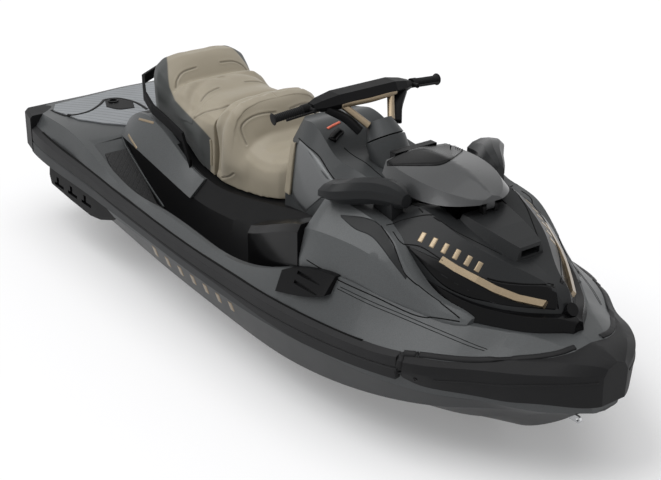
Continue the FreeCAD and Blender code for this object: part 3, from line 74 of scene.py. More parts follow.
def linear(red, green, blue):
    """A display colour of 0 to 255 a channel, as the linear colour that a shader takes."""
    channels = np.array([red, green, blue]) / 255
    low = channels / 12.92
    high = ((channels + 0.055) / 1.055) ** 2.4
    return tuple(np.where(channels <= 0.04045, low, high).tolist())


def colour_property(label, about, red, green, blue):
    return FloatVectorProperty(
        name=label, description=about, subtype="COLOR", size=3, min=0, max=1, default=linear(red, green, blue)
    )


def length_property(label, about, default):
    return FloatProperty(name=label, description=about, default=default, unit="LENGTH", subtype="DISTANCE")


class WatercraftColours(bpy.types.PropertyGroup):
    """The colours of the craft's finishes."""

    hull: colour_property("Hull", "Gelcoat below the rail", 56, 57, 58)
    deck: colour_property("Deck", "Metallic gelcoat of the deck and fairings", 68, 70, 71)
    console: colour_property("Console", "Satin paint of the console", 58, 60, 61)
    fairing: colour_property("Fairings", "Metallic gelcoat of the fairings and rear panels", 79, 81, 82)
    hood: colour_property("Hood", "Charcoal paint of the hood", 36, 37, 38)
    gloss: colour_property("Gloss black", "Polished black plastic", 12, 12, 13)
    satin: colour_property("Satin black", "Satin black plastic", 15, 15, 16)
    bumper: colour_property("Bumper", "Grained black bumper", 26, 26, 27)
    rail: colour_property("Rail", "Rubbing rail", 36, 36, 37)
    mat: colour_property("Mat", "Footwell mats", 30, 30, 31)
    foam: colour_property("Deck foam", "Closed-cell foam of the platform", 140, 143, 146)
    seat: colour_property("Seat", "Seat vinyl", 148, 139, 121)
    seat_side: colour_property("Seat side", "Side panels of the seat", 42, 45, 44)
    champagne: colour_property("Champagne", "Metallic accents", 134, 119, 97)
    visor: colour_property("Visor", "Paint of the front lid", 62, 63, 64)
    # The edge colour is a paler copy of the console's paint: a painted highlight on the console's lit side facet.
    edge: colour_property("Edge", "Pale borders of the console", 98, 100, 101)
    tag: colour_property("Tag", "Safety lanyard tag", 232, 112, 84)


class WatercraftSizes(bpy.types.PropertyGroup):
    """Sizes of the dressing, in metres."""

    seam_breadth: length_property("Seam", "Breadth of a joint between panels", 0.0045)
    seam_height: length_property("Seam height", "How far a joint's gasket stands up", 0.0012)
    edge_radius: length_property("Edge", "Rounding of moulded edges", 0.004)
    seat_inset: length_property("Seat inset", "How much smaller a seat starts before it swells", 0.008)
    seat_swell: length_property("Seat swell", "The most that a seat swells", 0.022)
    seat_cell: length_property("Seat cell", "Cell of the seats' mesh", 0.0065)
    crease_depth: length_property("Crease", "Depth of a sewn crease", 0.007)


def colours():
    """The colours set on the scene."""
    return bpy.context.scene.watercraft_colours


def sizes():
    """The sizes set on the scene."""
    return bpy.context.scene.watercraft_sizes


# Shader node groups


def node_group(name, inputs, outputs):
    """A shader group with its sockets, and its ends."""
    tree = bpy.data.node_groups.new(name, "ShaderNodeTree")
    for label, kind, default in inputs:
        socket = tree.interface.new_socket(label, in_out="INPUT", socket_type=kind)
        if default is not None:
            socket.default_value = default
    for label, kind in outputs:
        tree.interface.new_socket(label, in_out="OUTPUT", socket_type=kind)
    return tree, tree.nodes.new("NodeGroupInput"), tree.nodes.new("NodeGroupOutput")


def add_node(tree, kind, settings=None, **inputs):
    """A node with its settings and inputs; an input that is a socket is linked."""
    node = tree.nodes.new(kind)
    for key, value in (settings or {}).items():
        setattr(node, key, value)
    for key, value in inputs.items():
        socket = node.inputs[int(key[1:])] if key[0] == "_" else node.inputs[key.replace("_", " ")]
        if isinstance(value, bpy.types.NodeSocket):
            tree.links.new(value, socket)
        else:
            socket.default_value = value
    return node


def maths(tree, operation, *values, clamp=False):
    """The result of a Math node, with its values or sockets in order."""
    inputs = {"_%d" % i: value for i, value in enumerate(values)}
    return add_node(tree, "ShaderNodeMath", {"operation": operation, "use_clamp": clamp}, **inputs).outputs[0]


VALUE, COLOUR, VECTOR = "NodeSocketFloat", "NodeSocketColor", "NodeSocketVector"
GREY = (0.5, 0.5, 0.5, 1.0)


def build_fleck_group():
    """Metal flakes in paint: each small cell a little lighter or darker, over a slow drift of shade."""
    inputs = [("Vector", VECTOR, None), ("Color", COLOUR, GREY), ("Scale", VALUE, 900.0), ("Amount", VALUE, 0.2)]
    tree, start, end = node_group("paint_flecks", inputs, [("Color", COLOUR)])
    cell = add_node(tree, "ShaderNodeTexVoronoi", Vector=start.outputs[0], Scale=start.outputs[2])
    parts = add_node(tree, "ShaderNodeSeparateColor", Color=cell.outputs["Color"])
    drift = add_node(tree, "ShaderNodeTexNoise", Vector=start.outputs[0], Scale=2.5, Detail=2.0)
    flake = maths(tree, "SUBTRACT", parts.outputs[0], 0.5)
    slow = maths(tree, "SUBTRACT", drift.outputs[0], 0.5)
    both = maths(tree, "ADD", flake, slow)
    gain = maths(tree, "MULTIPLY_ADD", both, start.outputs[3], 1.0)
    scaled = add_node(tree, "ShaderNodeVectorMath", {"operation": "SCALE"}, _0=start.outputs[1], Scale=gain)
    tree.links.new(scaled.outputs[0], end.inputs[0])
    return tree


def build_grain_group():
    """Moulded grain: rounded cells with a finer noise on them."""
    tree, start, end = node_group(
        "moulded_grain", [("Vector", VECTOR, None), ("Scale", VALUE, 400.0)], [("Height", VALUE)]
    )
    cell = add_node(
        tree, "ShaderNodeTexVoronoi", {"feature": "SMOOTH_F1"}, Vector=start.outputs[0], Scale=start.outputs[1]
    )
    fine = add_node(tree, "ShaderNodeTexNoise", Vector=start.outputs[0], Scale=start.outputs[1], Detail=3.0)
    half = maths(tree, "MULTIPLY", fine.outputs[0], 0.5)
    tree.links.new(maths(tree, "ADD", cell.outputs["Distance"], half), end.inputs[0])
    return tree


def build_shade_group():
    """A slow change of shade, with fine scuffs drawn out along the craft."""
    inputs = [
        ("Vector", VECTOR, None), ("Color", COLOUR, GREY), ("Scuff Color", COLOUR, GREY),
        ("Scale", VALUE, 6.0), ("Variation", VALUE, 0.12), ("Scuffs", VALUE, 0.2),
    ]
    tree, start, end = node_group("soft_shade", inputs, [("Color", COLOUR), ("Scuffs", VALUE)])
    slow = add_node(tree, "ShaderNodeTexNoise", Vector=start.outputs[0], Scale=start.outputs[3], Detail=4.0)
    centred = maths(tree, "SUBTRACT", slow.outputs[0], 0.5)
    gain = maths(tree, "MULTIPLY_ADD", centred, start.outputs[4], 1.0)
    shaded = add_node(tree, "ShaderNodeVectorMath", {"operation": "SCALE"}, _0=start.outputs[1], Scale=gain)
    drawn = add_node(tree, "ShaderNodeMapping", Vector=start.outputs[0], Scale=(14.0, 90.0, 90.0))
    marks = add_node(tree, "ShaderNodeTexNoise", Vector=drawn.outputs[0], Scale=1.0, Detail=6.0)
    patch = add_node(tree, "ShaderNodeTexNoise", Vector=start.outputs[0], Scale=4.0, Detail=2.0)
    thin = add_node(tree, "ShaderNodeMapRange", Value=marks.outputs[0], _1=0.62, _2=0.72)
    near = add_node(tree, "ShaderNodeMapRange", Value=patch.outputs[0], _1=0.5, _2=0.7)
    mask = maths(tree, "MULTIPLY", thin.outputs[0], near.outputs[0])
    mask = maths(tree, "MULTIPLY", mask, start.outputs[5], clamp=True)
    mixed = add_node(
        tree, "ShaderNodeMix", {"data_type": "RGBA"}, _0=mask, _6=shaded.outputs[0], _7=start.outputs[2]
    )
    tree.links.new(mixed.outputs[2], end.inputs[0])
    tree.links.new(mask, end.inputs[1])
    return tree


def build_gloss_group():
    """Roughness that drifts a little about its level, and rises on scuffs."""
    inputs = [
        ("Vector", VECTOR, None), ("Level", VALUE, 0.4), ("Spread", VALUE, 0.12),
        ("Scale", VALUE, 9.0), ("Scuffs", VALUE, 0.0),
    ]
    tree, start, end = node_group("gloss_drift", inputs, [("Roughness", VALUE)])
    noise = add_node(tree, "ShaderNodeTexNoise", Vector=start.outputs[0], Scale=start.outputs[3], Detail=5.0)
    centred = maths(tree, "SUBTRACT", noise.outputs[0], 0.5)
    level = maths(tree, "MULTIPLY_ADD", centred, start.outputs[2], start.outputs[1])
    tree.links.new(maths(tree, "MULTIPLY_ADD", start.outputs[4], 0.4, level, clamp=True), end.inputs[0])
    return tree


def build_rib_group():
    """Parallel grooves across the first axis: 1 in a groove, 0 on the land between."""
    inputs = [("Vector", VECTOR, None), ("Pitch", VALUE, 0.03), ("Share", VALUE, 0.14)]
    tree, start, end = node_group("cut_grooves", inputs, [("Groove", VALUE)])
    parts = add_node(tree, "ShaderNodeSeparateXYZ", Vector=start.outputs[0])
    phase = maths(tree, "FRACT", maths(tree, "DIVIDE", parts.outputs[0], start.outputs[1]))
    away = maths(tree, "ABSOLUTE", maths(tree, "SUBTRACT", phase, 0.5))
    edge = add_node(
        tree, "ShaderNodeMapRange", {"interpolation_type": "SMOOTHSTEP"},
        Value=away, _1=start.outputs[2], _2=0.0,
    )
    tree.links.new(edge.outputs[0], end.inputs[0])
    return tree


GROUPS = {}


def build_groups():
    """Every shared shader group, built once."""
    GROUPS["fleck"] = build_fleck_group()
    GROUPS["grain"] = build_grain_group()
    GROUPS["shade"] = build_shade_group()
    GROUPS["gloss"] = build_gloss_group()
    GROUPS["ribs"] = build_rib_group()


def add_group(tree, key, **inputs):
    """One of the shared groups, placed in a material with its own values."""
    return add_node(tree, "ShaderNodeGroup", {"node_tree": GROUPS[key]}, **inputs)


# Materials


# How much lighter than its paint a scuff is: a gain and a lift
SCUFF_GAIN, SCUFF_LIFT = 1.8, 0.02
COAT_ROUGHNESS = 0.06
GRAIN_STRENGTH = 0.35
# Distance of a bump as a multiple of the grain's depth
GRAIN_REACH = 4

# Grooves of the deck foam and of the footwells' tread: turn in degrees, pitch in metres, share that is groove
FOAM_GROOVES = (58, 0.034, 0.07)
TREAD_GROOVES = (38, 0.018, 0.1)
# Painted shade in a groove, and on vinyl in a crease, as a share of the colour around it
FOAM_GROOVE_SHADE = 0.35
TREAD_GROOVE_SHADE = 0.4
CREASE_SHADE = 0.62


def start_material(name):
    """A material with its nodes, its shader and the object's own coordinates."""
    material = bpy.data.materials.new(name)
    material.use_nodes = True
    tree = material.node_tree
    shader = tree.nodes["Principled BSDF"]
    coords = tree.nodes.new("ShaderNodeTexCoord").outputs["Object"]
    return material, tree, shader, coords


def below_line(tree, coords):
    """1 below the rail's paint line, whose height falls evenly towards the bow, and 0 above it."""
    place = add_node(tree, "ShaderNodeSeparateXYZ", Vector=coords)
    line = maths(tree, "MULTIPLY_ADD", place.outputs[0], PAINT_LINE_FALL, PAINT_LINE_HEIGHT)
    return maths(tree, "LESS_THAN", place.outputs[2], line)


def bumped(tree, shader, height, strength, distance):
    """A bump from a height, fed to the shader's normal."""
    bump = add_node(tree, "ShaderNodeBump", Strength=strength, Distance=distance, Height=height)
    tree.links.new(bump.outputs[0], shader.inputs["Normal"])


def mixed_colour(tree, mask, below, above):
    """One colour where the mask is 0, and another where it is 1."""
    return add_node(
        tree, "ShaderNodeMix", {"data_type": "RGBA"}, _0=mask, _6=below, _7=above
    ).outputs[2]


def finish(name, colour, level, metallic, coat, specular, flecks, grain, depth, scuffs, under=None):
    """A moulded, painted or metal finish: shade, scuffs, flakes, uneven gloss and grain.

    Where there is a colour for below, it takes over under the rail's paint line.
    """
    material, tree, shader, coords = start_material(name)
    base = (*colour, 1.0)
    light = (*[min(1.0, channel * SCUFF_GAIN + SCUFF_LIFT) for channel in colour], 1.0)
    if under:
        base = mixed_colour(tree, below_line(tree, coords), base, (*under, 1.0))
    shade = add_group(tree, "shade", Vector=coords, Color=base, Scuff_Color=light, Scuffs=scuffs)
    painted = shade.outputs[0]
    if flecks:
        painted = add_group(tree, "fleck", Vector=coords, Color=painted, Amount=flecks).outputs[0]
    gloss = add_group(tree, "gloss", Vector=coords, Level=level, Scuffs=shade.outputs[1])
    height = add_group(tree, "grain", Vector=coords, Scale=grain)
    tree.links.new(painted, shader.inputs["Base Color"])
    tree.links.new(gloss.outputs[0], shader.inputs["Roughness"])
    shader.inputs["Metallic"].default_value = metallic
    shader.inputs["Coat Weight"].default_value = coat
    shader.inputs["Specular IOR Level"].default_value = specular
    shader.inputs["Coat Roughness"].default_value = COAT_ROUGHNESS
    bumped(tree, shader, height.outputs[0], GRAIN_STRENGTH, depth * GRAIN_REACH)
    return material


def slanting_grooves(tree, coords, turn, pitch, share):
    """The mask of parallel grooves, turned by some degrees about the vertical."""
    slant = add_node(tree, "ShaderNodeMapping", Vector=coords, Rotation=(0.0, 0.0, math.radians(turn)))
    return add_group(tree, "ribs", Vector=slant.outputs[0], Pitch=pitch, Share=share).outputs[0]


def foam_finish(name, colour):
    """Closed-cell deck foam with slanting cut grooves, painted darker as shade in them, and a brushed face."""
    material, tree, shader, coords = start_material(name)
    groove = slanting_grooves(tree, coords, *FOAM_GROOVES)
    base = (*colour, 1.0)
    # The grooves' darker colour is painted shade; the foam's scuffs take the same darker colour.
    dark = (*[channel * FOAM_GROOVE_SHADE for channel in colour], 1.0)
    shade = add_group(tree, "shade", Vector=coords, Color=base, Scuff_Color=dark, Variation=0.2, Scuffs=0.2)
    mixed = mixed_colour(tree, groove, shade.outputs[0], dark)
    brushed = add_node(tree, "ShaderNodeTexNoise", Vector=coords, Scale=900.0, Detail=3.0)
    height = maths(tree, "MULTIPLY_ADD", groove, -4.0, brushed.outputs[0])
    gloss = add_group(tree, "gloss", Vector=coords, Level=0.85)
    tree.links.new(mixed, shader.inputs["Base Color"])
    tree.links.new(gloss.outputs[0], shader.inputs["Roughness"])
    bumped(tree, shader, height, 0.5, 0.0008)
    return material


def tread_finish(name, colour):
    """Footwell rubber with a raised lozenge tread from two crossing sets of grooves, painted darker as shade in them.
    """
    material, tree, shader, coords = start_material(name)
    turn, pitch, share = TREAD_GROOVES
    masks = [slanting_grooves(tree, coords, side * turn, pitch, share) for side in (1, -1)]
    groove = maths(tree, "MAXIMUM", *masks)
    base = (*colour, 1.0)
    # The grooves' darker colour is painted shade.
    dark = (*[channel * TREAD_GROOVE_SHADE for channel in colour], 1.0)
    shade = add_group(tree, "shade", Vector=coords, Color=base, Scuff_Color=(0.06, 0.06, 0.06, 1.0), Scuffs=0.4)
    mixed = mixed_colour(tree, groove, shade.outputs[0], dark)
    fine = add_group(tree, "grain", Vector=coords, Scale=700.0)
    height = maths(tree, "MULTIPLY_ADD", groove, -3.0, fine.outputs[0])
    gloss = add_group(tree, "gloss", Vector=coords, Level=0.72)
    tree.links.new(mixed, shader.inputs["Base Color"])
    tree.links.new(gloss.outputs[0], shader.inputs["Roughness"])
    bumped(tree, shader, height, 0.6, 0.001)
    return material


def vinyl_finish(name, colour, side_colour):
    """Seat vinyl with a pebbled grain, painted shade in its creases, and dark side panels where "side" is 1."""
    material, tree, shader, coords = start_material(name)
    side = add_node(tree, "ShaderNodeAttribute", {"attribute_name": "side"}).outputs["Fac"]
    crease = add_node(tree, "ShaderNodeAttribute", {"attribute_name": "crease"}).outputs["Fac"]
    base = (*colour, 1.0)
    # Darker vinyl as painted shade in the creases; the seat's scuffs take the same darker colour.
    crease_shade_and_scuff = (*[channel * CREASE_SHADE for channel in colour], 1.0)
    dark = (*side_colour, 1.0)
    shade = add_group(
        tree, "shade", Vector=coords, Color=base, Scuff_Color=crease_shade_and_scuff, Scale=4.0, Variation=0.1, Scuffs=0.1
    )
    crease_shaded = mixed_colour(tree, crease, shade.outputs[0], crease_shade_and_scuff)
    both = mixed_colour(tree, side, crease_shaded, dark)
    pebble = add_group(tree, "grain", Vector=coords, Scale=330.0)
    gloss = add_group(tree, "gloss", Vector=coords, Level=0.55, Spread=0.2)
    tree.links.new(both, shader.inputs["Base Color"])
    tree.links.new(gloss.outputs[0], shader.inputs["Roughness"])
    shader.inputs["Sheen Weight"].default_value = 0.15
    bumped(tree, shader, pebble.outputs[0], 0.3, 0.0006)
    return material


MATERIALS = {}


# Roughness, metallic, coat, specular level, flakes, grain scale, grain depth, scuffs
FINISHES = {
    "hull": (0.42, 0.05, 0.05, 0.2, 0.12, 60.0, 0.00001, 0.12),
    "deck": (0.42, 0.12, 0.08, 0.22, 0.35, 60.0, 0.00001, 0.08),
    "console": (0.45, 0.15, 0.05, 0.22, 0.25, 500.0, 0.00003, 0.08),
    "hood": (0.36, 0.0, 0.03, 0.12, 0.3, 60.0, 0.00001, 0.06),
    "visor": (0.3, 0.2, 0.15, 0.35, 0.2, 60.0, 0.00001, 0.06),
    "gloss": (0.2, 0.0, 0.02, 0.09, 0.0, 60.0, 0.00001, 0.08),
    "satin": (0.5, 0.0, 0.0, 0.09, 0.0, 700.0, 0.00006, 0.15),
    "bumper": (0.55, 0.0, 0.0, 0.14, 0.0, 520.0, 0.00012, 0.25),
    "rail": (0.6, 0.0, 0.0, 0.16, 0.0, 420.0, 0.0001, 0.25),
    "champagne": (0.36, 0.8, 0.3, 0.5, 0.3, 60.0, 0.00001, 0.06),
    # The edge finish is for the painted highlight on the console's lit side facet.
    "edge": (0.4, 0.3, 0.2, 0.5, 0.2, 300.0, 0.00002, 0.06),
    "tag": (0.45, 0.0, 0.2, 0.4, 0.0, 400.0, 0.00003, 0.1),
    "cast": (0.5, 0.9, 0.0, 0.5, 0.1, 300.0, 0.0001, 0.3),
    "pump": (0.4, 0.95, 0.0, 0.5, 0.1, 260.0, 0.00006, 0.3),
    "steel": (0.22, 1.0, 0.0, 0.5, 0.0, 90.0, 0.00001, 0.15),
    "mirror": (0.04, 1.0, 0.0, 0.5, 0.0, 20.0, 0.000002, 0.0),
    "seam": (0.7, 0.0, 0.0, 0.1, 0.0, 800.0, 0.00003, 0.0),
    "piping": (0.5, 0.0, 0.0, 0.3, 0.0, 420.0, 0.00008, 0.1),
    "grip": (0.7, 0.0, 0.0, 0.2, 0.0, 600.0, 0.0001, 0.15),
}


def build_materials():
    """Every finish of the craft, by the name that the pieces ask for."""
    tones = colours()
    for name, finish_key, colour in (
        ("hull_gelcoat", "hull", tones.hull),
        ("deck_gelcoat", "deck", tones.deck),
        ("fairing_gelcoat", "deck", tones.fairing),
        ("satin_grey", "console", tones.console),
        ("hood_charcoal", "hood", tones.hood),
        ("visor_paint", "visor", tones.visor),
        ("gloss_black", "gloss", tones.gloss),
        ("satin_black", "satin", tones.satin),
        ("bumper_black", "bumper", tones.bumper),
        ("champagne", "champagne", tones.champagne),
        ("console_highlight_grey", "edge", tones.edge),
        ("tag_orange", "tag", tones.tag),
        ("cast_metal", "cast", linear(120, 122, 124)),
        ("pump_metal", "pump", linear(168, 170, 172)),
        ("stainless", "steel", linear(205, 206, 208)),
        ("mirror_glass", "mirror", linear(226, 229, 232)),
        ("seam_black", "seam", linear(7, 7, 7)),
        ("piping_vinyl", "piping", tones.seat),
        ("grip_rubber", "grip", linear(20, 20, 21)),
    ):
        MATERIALS[name] = finish(name, colour, *FINISHES[finish_key])
    MATERIALS["rail_rubber"] = finish("rail_rubber", tones.rail, *FINISHES["rail"], under=tones.hull)
    MATERIALS["deck_foam"] = foam_finish("deck_foam", tones.foam)
    MATERIALS["mat_rubber"] = tread_finish("mat_rubber", tones.mat)
    MATERIALS["seat_vinyl"] = vinyl_finish("seat_vinyl", tones.seat, tones.seat_side)


# Surfaces


# How far a strip or a plate goes into what carries it
ROOT = 0.002
# Points along and across a plate, and its rise at the rim as a share of the rise inside it
PATCH_ROWS, PATCH_COLUMNS = 48, 14
RIM_SHARE = 0.3
# Points round a bar's section, and round a bolt's head
BAR_POINTS = 20
BOLT_POINTS = 18
# A bolt's head from its foot to the middle of its socket: shares of its radius and of its height
BOLT_PROFILE = [(1, -0.6), (1, 0.7), (0.88, 1), (0.5, 1), (0.45, 0.4), (0.05, 0.35)]


def mesh_arrays(mesh):
    """A mesh's points and its triangles' corners."""
    points = np.empty(len(mesh.vertices) * 3)
    mesh.vertices.foreach_get("co", points)
    mesh.calc_loop_triangles()
    triangles = np.empty(len(mesh.loop_triangles) * 3, dtype=np.int32)
    mesh.loop_triangles.foreach_get("vertices", triangles)
    return points.reshape(-1, 3), triangles.reshape(-1, 3)


def search_tree(*names):
    """A search tree over the surfaces of some nodes or pieces."""
    points, triangles, start = [], [], 0
    for name in names:
        obj = NODES.get(name) or bpy.data.objects[name]
        some, corners = mesh_arrays(obj.data)
        points.append(some)
        triangles.append(corners + start)
        start += len(some)
    return BVHTree.FromPolygons(np.concatenate(points).tolist(), np.concatenate(triangles).tolist())


def traced(places, enlargement, tree, whole=False):
    """The points of a surface under places in the picture, seen from the camera.

    A place beside the surface is left out, or for a whole row takes the point before it.
    """
    left, top, step = enlargement
    back = np.cross(CAMERA_RIGHT, CAMERA_UP)
    focal = CAMERA_LENS / SENSOR * PICTURE[0]
    found = []
    for across, down in places:
        u = left + across * step - PICTURE[0] / 2
        v = PICTURE[1] / 2 - (top + down * step)
        ray = CAMERA_RIGHT * u + CAMERA_UP * v - back * focal
        hit = tree.ray_cast(Vector(CAMERA_PLACE), Vector(ray).normalized())[0]
        if hit is not None:
            found.append(hit[:])
        elif whole and found:
            found.append(found[-1])
    return np.array(found)


def pictured(points, enlargement):
    """Where points come in an enlargement of the picture: across and down."""
    left, top, step = enlargement
    focal = CAMERA_LENS / SENSOR * PICTURE[0]
    seen = points - CAMERA_PLACE
    depth = seen @ np.cross(CAMERA_UP, CAMERA_RIGHT)
    across = PICTURE[0] / 2 + seen @ CAMERA_RIGHT / depth * focal
    down = PICTURE[1] / 2 - seen @ CAMERA_UP / depth * focal
    return (across - left) / step, (down - top) / step


def smooth_path(points, count, closed=False):
    """A Catmull-Rom curve through points: each run blends its two ends with the slopes of their neighbours."""
    points = np.asarray(points, dtype=float)
    if closed:
        padded = np.vstack([points[-1], points, points[:2]])
    else:
        padded = np.vstack([2 * points[0] - points[1], points, 2 * points[-1] - points[-2]])
    runs = len(padded) - 3
    along = np.linspace(0, runs, count, endpoint=not closed)
    run = np.minimum(along.astype(int), runs - 1)
    t = (along - run)[:, None]
    a, b, c, d = (padded[run + k] for k in range(4))
    return 0.5 * (2 * b + (c - a) * t + (2 * a - 5 * b + 4 * c - d) * t**2 + (3 * b - a - 3 * c + d) * t**3)


def settled(points, tree):
    """Points moved to the nearest place on a surface, with that surface's normals, evened out."""
    hits = [tree.find_nearest(Vector(point)) for point in points]
    places = np.array([hit[0][:] for hit in hits])
    normals = np.array([hit[1][:] for hit in hits])
    even = normals.copy()
    for _ in range(3):
        even[1:-1] = (even[:-2] + 2 * even[1:-1] + even[2:]) / 4
    return places, even / np.linalg.norm(even, axis=1)[:, None]


def placed(name, mesh, material, body):
    """A finished piece from a mesh: normals outwards, smooth, with its material and body."""
    edit = bmesh.new()
    edit.from_mesh(mesh)
    bmesh.ops.recalc_face_normals(edit, faces=edit.faces)
    edit.to_mesh(mesh)
    edit.free()
    mesh.polygons.foreach_set("use_smooth", np.ones(len(mesh.polygons), dtype=bool))
    mesh.materials.append(MATERIALS[material])
    obj = bpy.data.objects.new(name, mesh)
    bpy.context.scene.collection.objects.link(obj)
    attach(obj, body)
    return obj


def swept(path, normals, profile):
    """A grid: the section's (across, up) pairs carried along a path that lies on a surface."""
    along = np.gradient(path, axis=0)
    along /= np.linalg.norm(along, axis=1)[:, None]
    across = np.cross(normals, along)
    across /= np.linalg.norm(across, axis=1)[:, None]
    up = np.cross(along, across)
    return path[:, None] + profile[None, :, :1] * across[:, None] + profile[None, :, 1:] * up[:, None]


def flat_section(breadth, height, root=ROOT):
    """A low crowned strip, sunk by its root: breadth across, height at its middle."""
    half = breadth / 2
    return np.array([
        (-half, -root), (half, -root), (half, height * 0.4), (half * 0.6, height), (-half * 0.6, height),
        (-half, height * 0.4),
    ])


def mirrored(grid):
    """A grid on the other side of the centre plane, turned so that its faces still point outwards."""
    return grid[:, ::-1] * np.array([1, -1, 1])


def joined(grids, name, material, body):
    """Several closed grids as one piece."""
    points, faces, start = [], [], 0
    for grid in grids:
        rows, columns = grid.shape[:2]
        index = np.arange(rows * columns).reshape(rows, columns) + start
        ahead = np.roll(index, -1, axis=1)
        faces += np.stack([index[:-1], ahead[:-1], ahead[1:], index[1:]], axis=-1).reshape(-1, 4).tolist()
        faces += [index[0, ::-1].tolist(), index[-1].tolist()]
        points.append(grid.reshape(-1, 3))
        start += rows * columns
    mesh = bpy.data.meshes.new(name)
    mesh.from_pydata(np.concatenate(points).tolist(), [], faces)
    return placed(name, mesh, material, body)


def surface_strips(name, rows, carriers, section, material, body="craft", both=True, count=60):
    """Strips along places measured in the picture, laid on what carries them, and mirrored to port."""
    tree = search_tree(*carriers)
    grids = []
    for enlargement, places in rows:
        points = traced(places, enlargement, tree)
        if both:
            points = points[points[:, 1] < 0.002]
        if len(points) < 2:
            raise RuntimeError("no surface under %s at %s" % (name, places[0]))
        path, normals = settled(smooth_path(points, count), tree)
        grids.append(swept(path, normals, section))
    if both:
        grids += [mirrored(grid) for grid in grids]
    return joined(grids, name, material, body)


def surface_patch(name, high, low, enlargement, carriers, lift, material, slot, body="craft", both=True):
    """A thin plate on a surface: P(s, t) is the point under the mix of its two edges, s along and t across.

    It stands up by its lift along the normals, less at its rim, and is closed below, inside what carries it.
    """
    tree = search_tree(*carriers)
    rows, columns = PATCH_ROWS, PATCH_COLUMNS
    edges = [
        smooth_path(np.column_stack([np.array(edge, float), np.zeros(len(edge))]), rows)[:, :2] for edge in (high, low)
    ]
    share = np.linspace(0, 1, columns)[None, :, None]
    places = edges[0][:, None] * (1 - share) + edges[1][:, None] * share
    points = traced(places.reshape(-1, 2), enlargement, tree, whole=True).reshape(rows, columns, 3)
    hits = [tree.find_nearest(Vector(point)) for point in points.reshape(-1, 3)]
    normals = np.array([hit[1][:] for hit in hits]).reshape(rows, columns, 3)
    for _ in range(2):
        normals[1:-1] = (normals[:-2] + 2 * normals[1:-1] + normals[2:]) / 4
        normals[:, 1:-1] = (normals[:, :-2] + 2 * normals[:, 1:-1] + normals[:, 2:]) / 4
    normals /= np.linalg.norm(normals, axis=2)[:, :, None]
    rise = np.full((rows, columns), lift)
    rise[[0, -1]] *= RIM_SHARE
    rise[:, [0, -1]] *= RIM_SHARE
    grid = np.concatenate([points + normals * rise[:, :, None], (points - normals * ROOT)[:, ::-1]], axis=1)
    return joined([grid, mirrored(grid)] if both else [grid], name, material, body)


def beam(points, breadth, depth, count=40):
    """A rounded bar along a smooth curve: its section is the superellipse |u|^4 + |v|^4 = 1, scaled."""
    path = smooth_path(points, count)
    along = np.gradient(path, axis=0)
    along /= np.linalg.norm(along, axis=1)[:, None]
    across = np.cross(along, (0.0, 0.0, 1.0))
    across /= np.linalg.norm(across, axis=1)[:, None]
    up = np.cross(across, along)
    angles = np.arange(BAR_POINTS) * 2 * np.pi / BAR_POINTS
    u = np.sign(np.cos(angles)) * np.abs(np.cos(angles)) ** 0.5 * breadth / 2
    v = np.sign(np.sin(angles)) * np.abs(np.sin(angles)) ** 0.5 * depth / 2
    return path[:, None] + u[None, :, None] * across[:, None] + v[None, :, None] * up[:, None]


def stud(point, normal, radius, height):
    """A bolt head: a circle whose radius and rise along the normal follow a turned profile with a socket."""
    shares = np.array(BOLT_PROFILE)
    across = np.cross(normal, (0.3, 0.1, 0.9))
    across /= np.linalg.norm(across)
    up = np.cross(normal, across)
    angles = np.arange(BOLT_POINTS) * 2 * np.pi / BOLT_POINTS
    ring = np.cos(angles)[:, None] * across + np.sin(angles)[:, None] * up
    return point + shares[:, :1, None] * radius * ring[None] + shares[:, 1:, None] * height * normal


def studs(name, enlargement, places, carriers, radius, height, material):
    """Bolt heads at places measured in the picture, and mirrored to port."""
    tree = search_tree(*carriers)
    points, normals = settled(traced(places, enlargement, tree), tree)
    grids = [stud(point, normal, radius, height) for point, normal in zip(points, normals)]
    return joined(grids + [mirrored(grid) for grid in grids], name, material, "craft")


# Finishes of the frame's own pieces: material, edge rounding as a share of the usual one
NODE_FINISHES = {
    "hull": ("hull_gelcoat", 1.0), "deck": ("deck_gelcoat", 1.5), "pedestal": ("satin_black", 1.5),
    "rub_rail": ("rail_rubber", 1.0), "bow_bumper": ("bumper_black", 1.5), "stern_bumper": ("bumper_black", 1.0),
    "rear_panels": ("fairing_gelcoat", 1.0), "console": ("satin_grey", 1.2), "column_base": ("satin_grey", 0.7),
    "hood": ("hood_charcoal", 1.2), "fairings": ("fairing_gelcoat", 1.2), "nose_band": ("gloss_black", 1.0),
    "accents": ("champagne", 0.5), "nose_disc": ("gloss_black", 0.5), "side_vents": ("satin_black", 0.6),
    "shin_pods": ("gloss_black", 1.5), "knee_pads": ("piping_vinyl", 0.8), "deck_mat": ("deck_foam", 0.5),
    "deck_sockets": ("bumper_black", 0.3), "footwell_mats": ("mat_rubber", 0.5), "grab_rail": ("satin_black", 0.7),
    "engine": ("cast_metal", 1.0), "pump_housing": ("pump_metal", 0.3), "impeller": ("stainless", 0.2),
    "drive_shaft": ("stainless", 0.2), "steering_nozzle": ("pump_metal", 0.3),
    "reverse_bucket": ("pump_metal", 0.3), "ride_plate": ("cast_metal", 0.5), "intake_grate": ("cast_metal", 0.3),
    "sponsons": ("satin_black", 0.8), "boarding_ladder": ("stainless", 0.0), "ladder_bracket": ("stainless", 0.2),
    "stern_eyes": ("stainless", 0.3), "bow_eye": ("stainless", 0.3), "steering_column": ("satin_grey", 0.7),
    "handlebar": ("satin_black", 0.0), "bar_pad": ("satin_black", 1.5), "bar_trims": ("champagne", 0.2),
    "levers": ("satin_black", 0.3), "storage_lid": ("visor_paint", 1.2), "lid_hinge": ("satin_black", 0.3),
    "gauge": ("gloss_black", 1.0), "mirrors": ("hood_charcoal", 1.0), "mirror_glass": ("mirror_glass", 0.0),
}


# Reach within which the loose triangles of a frame piece are joined, and the least angle that is rounded
WELD_REACH = 0.0001
EDGE_ANGLE = math.radians(28)


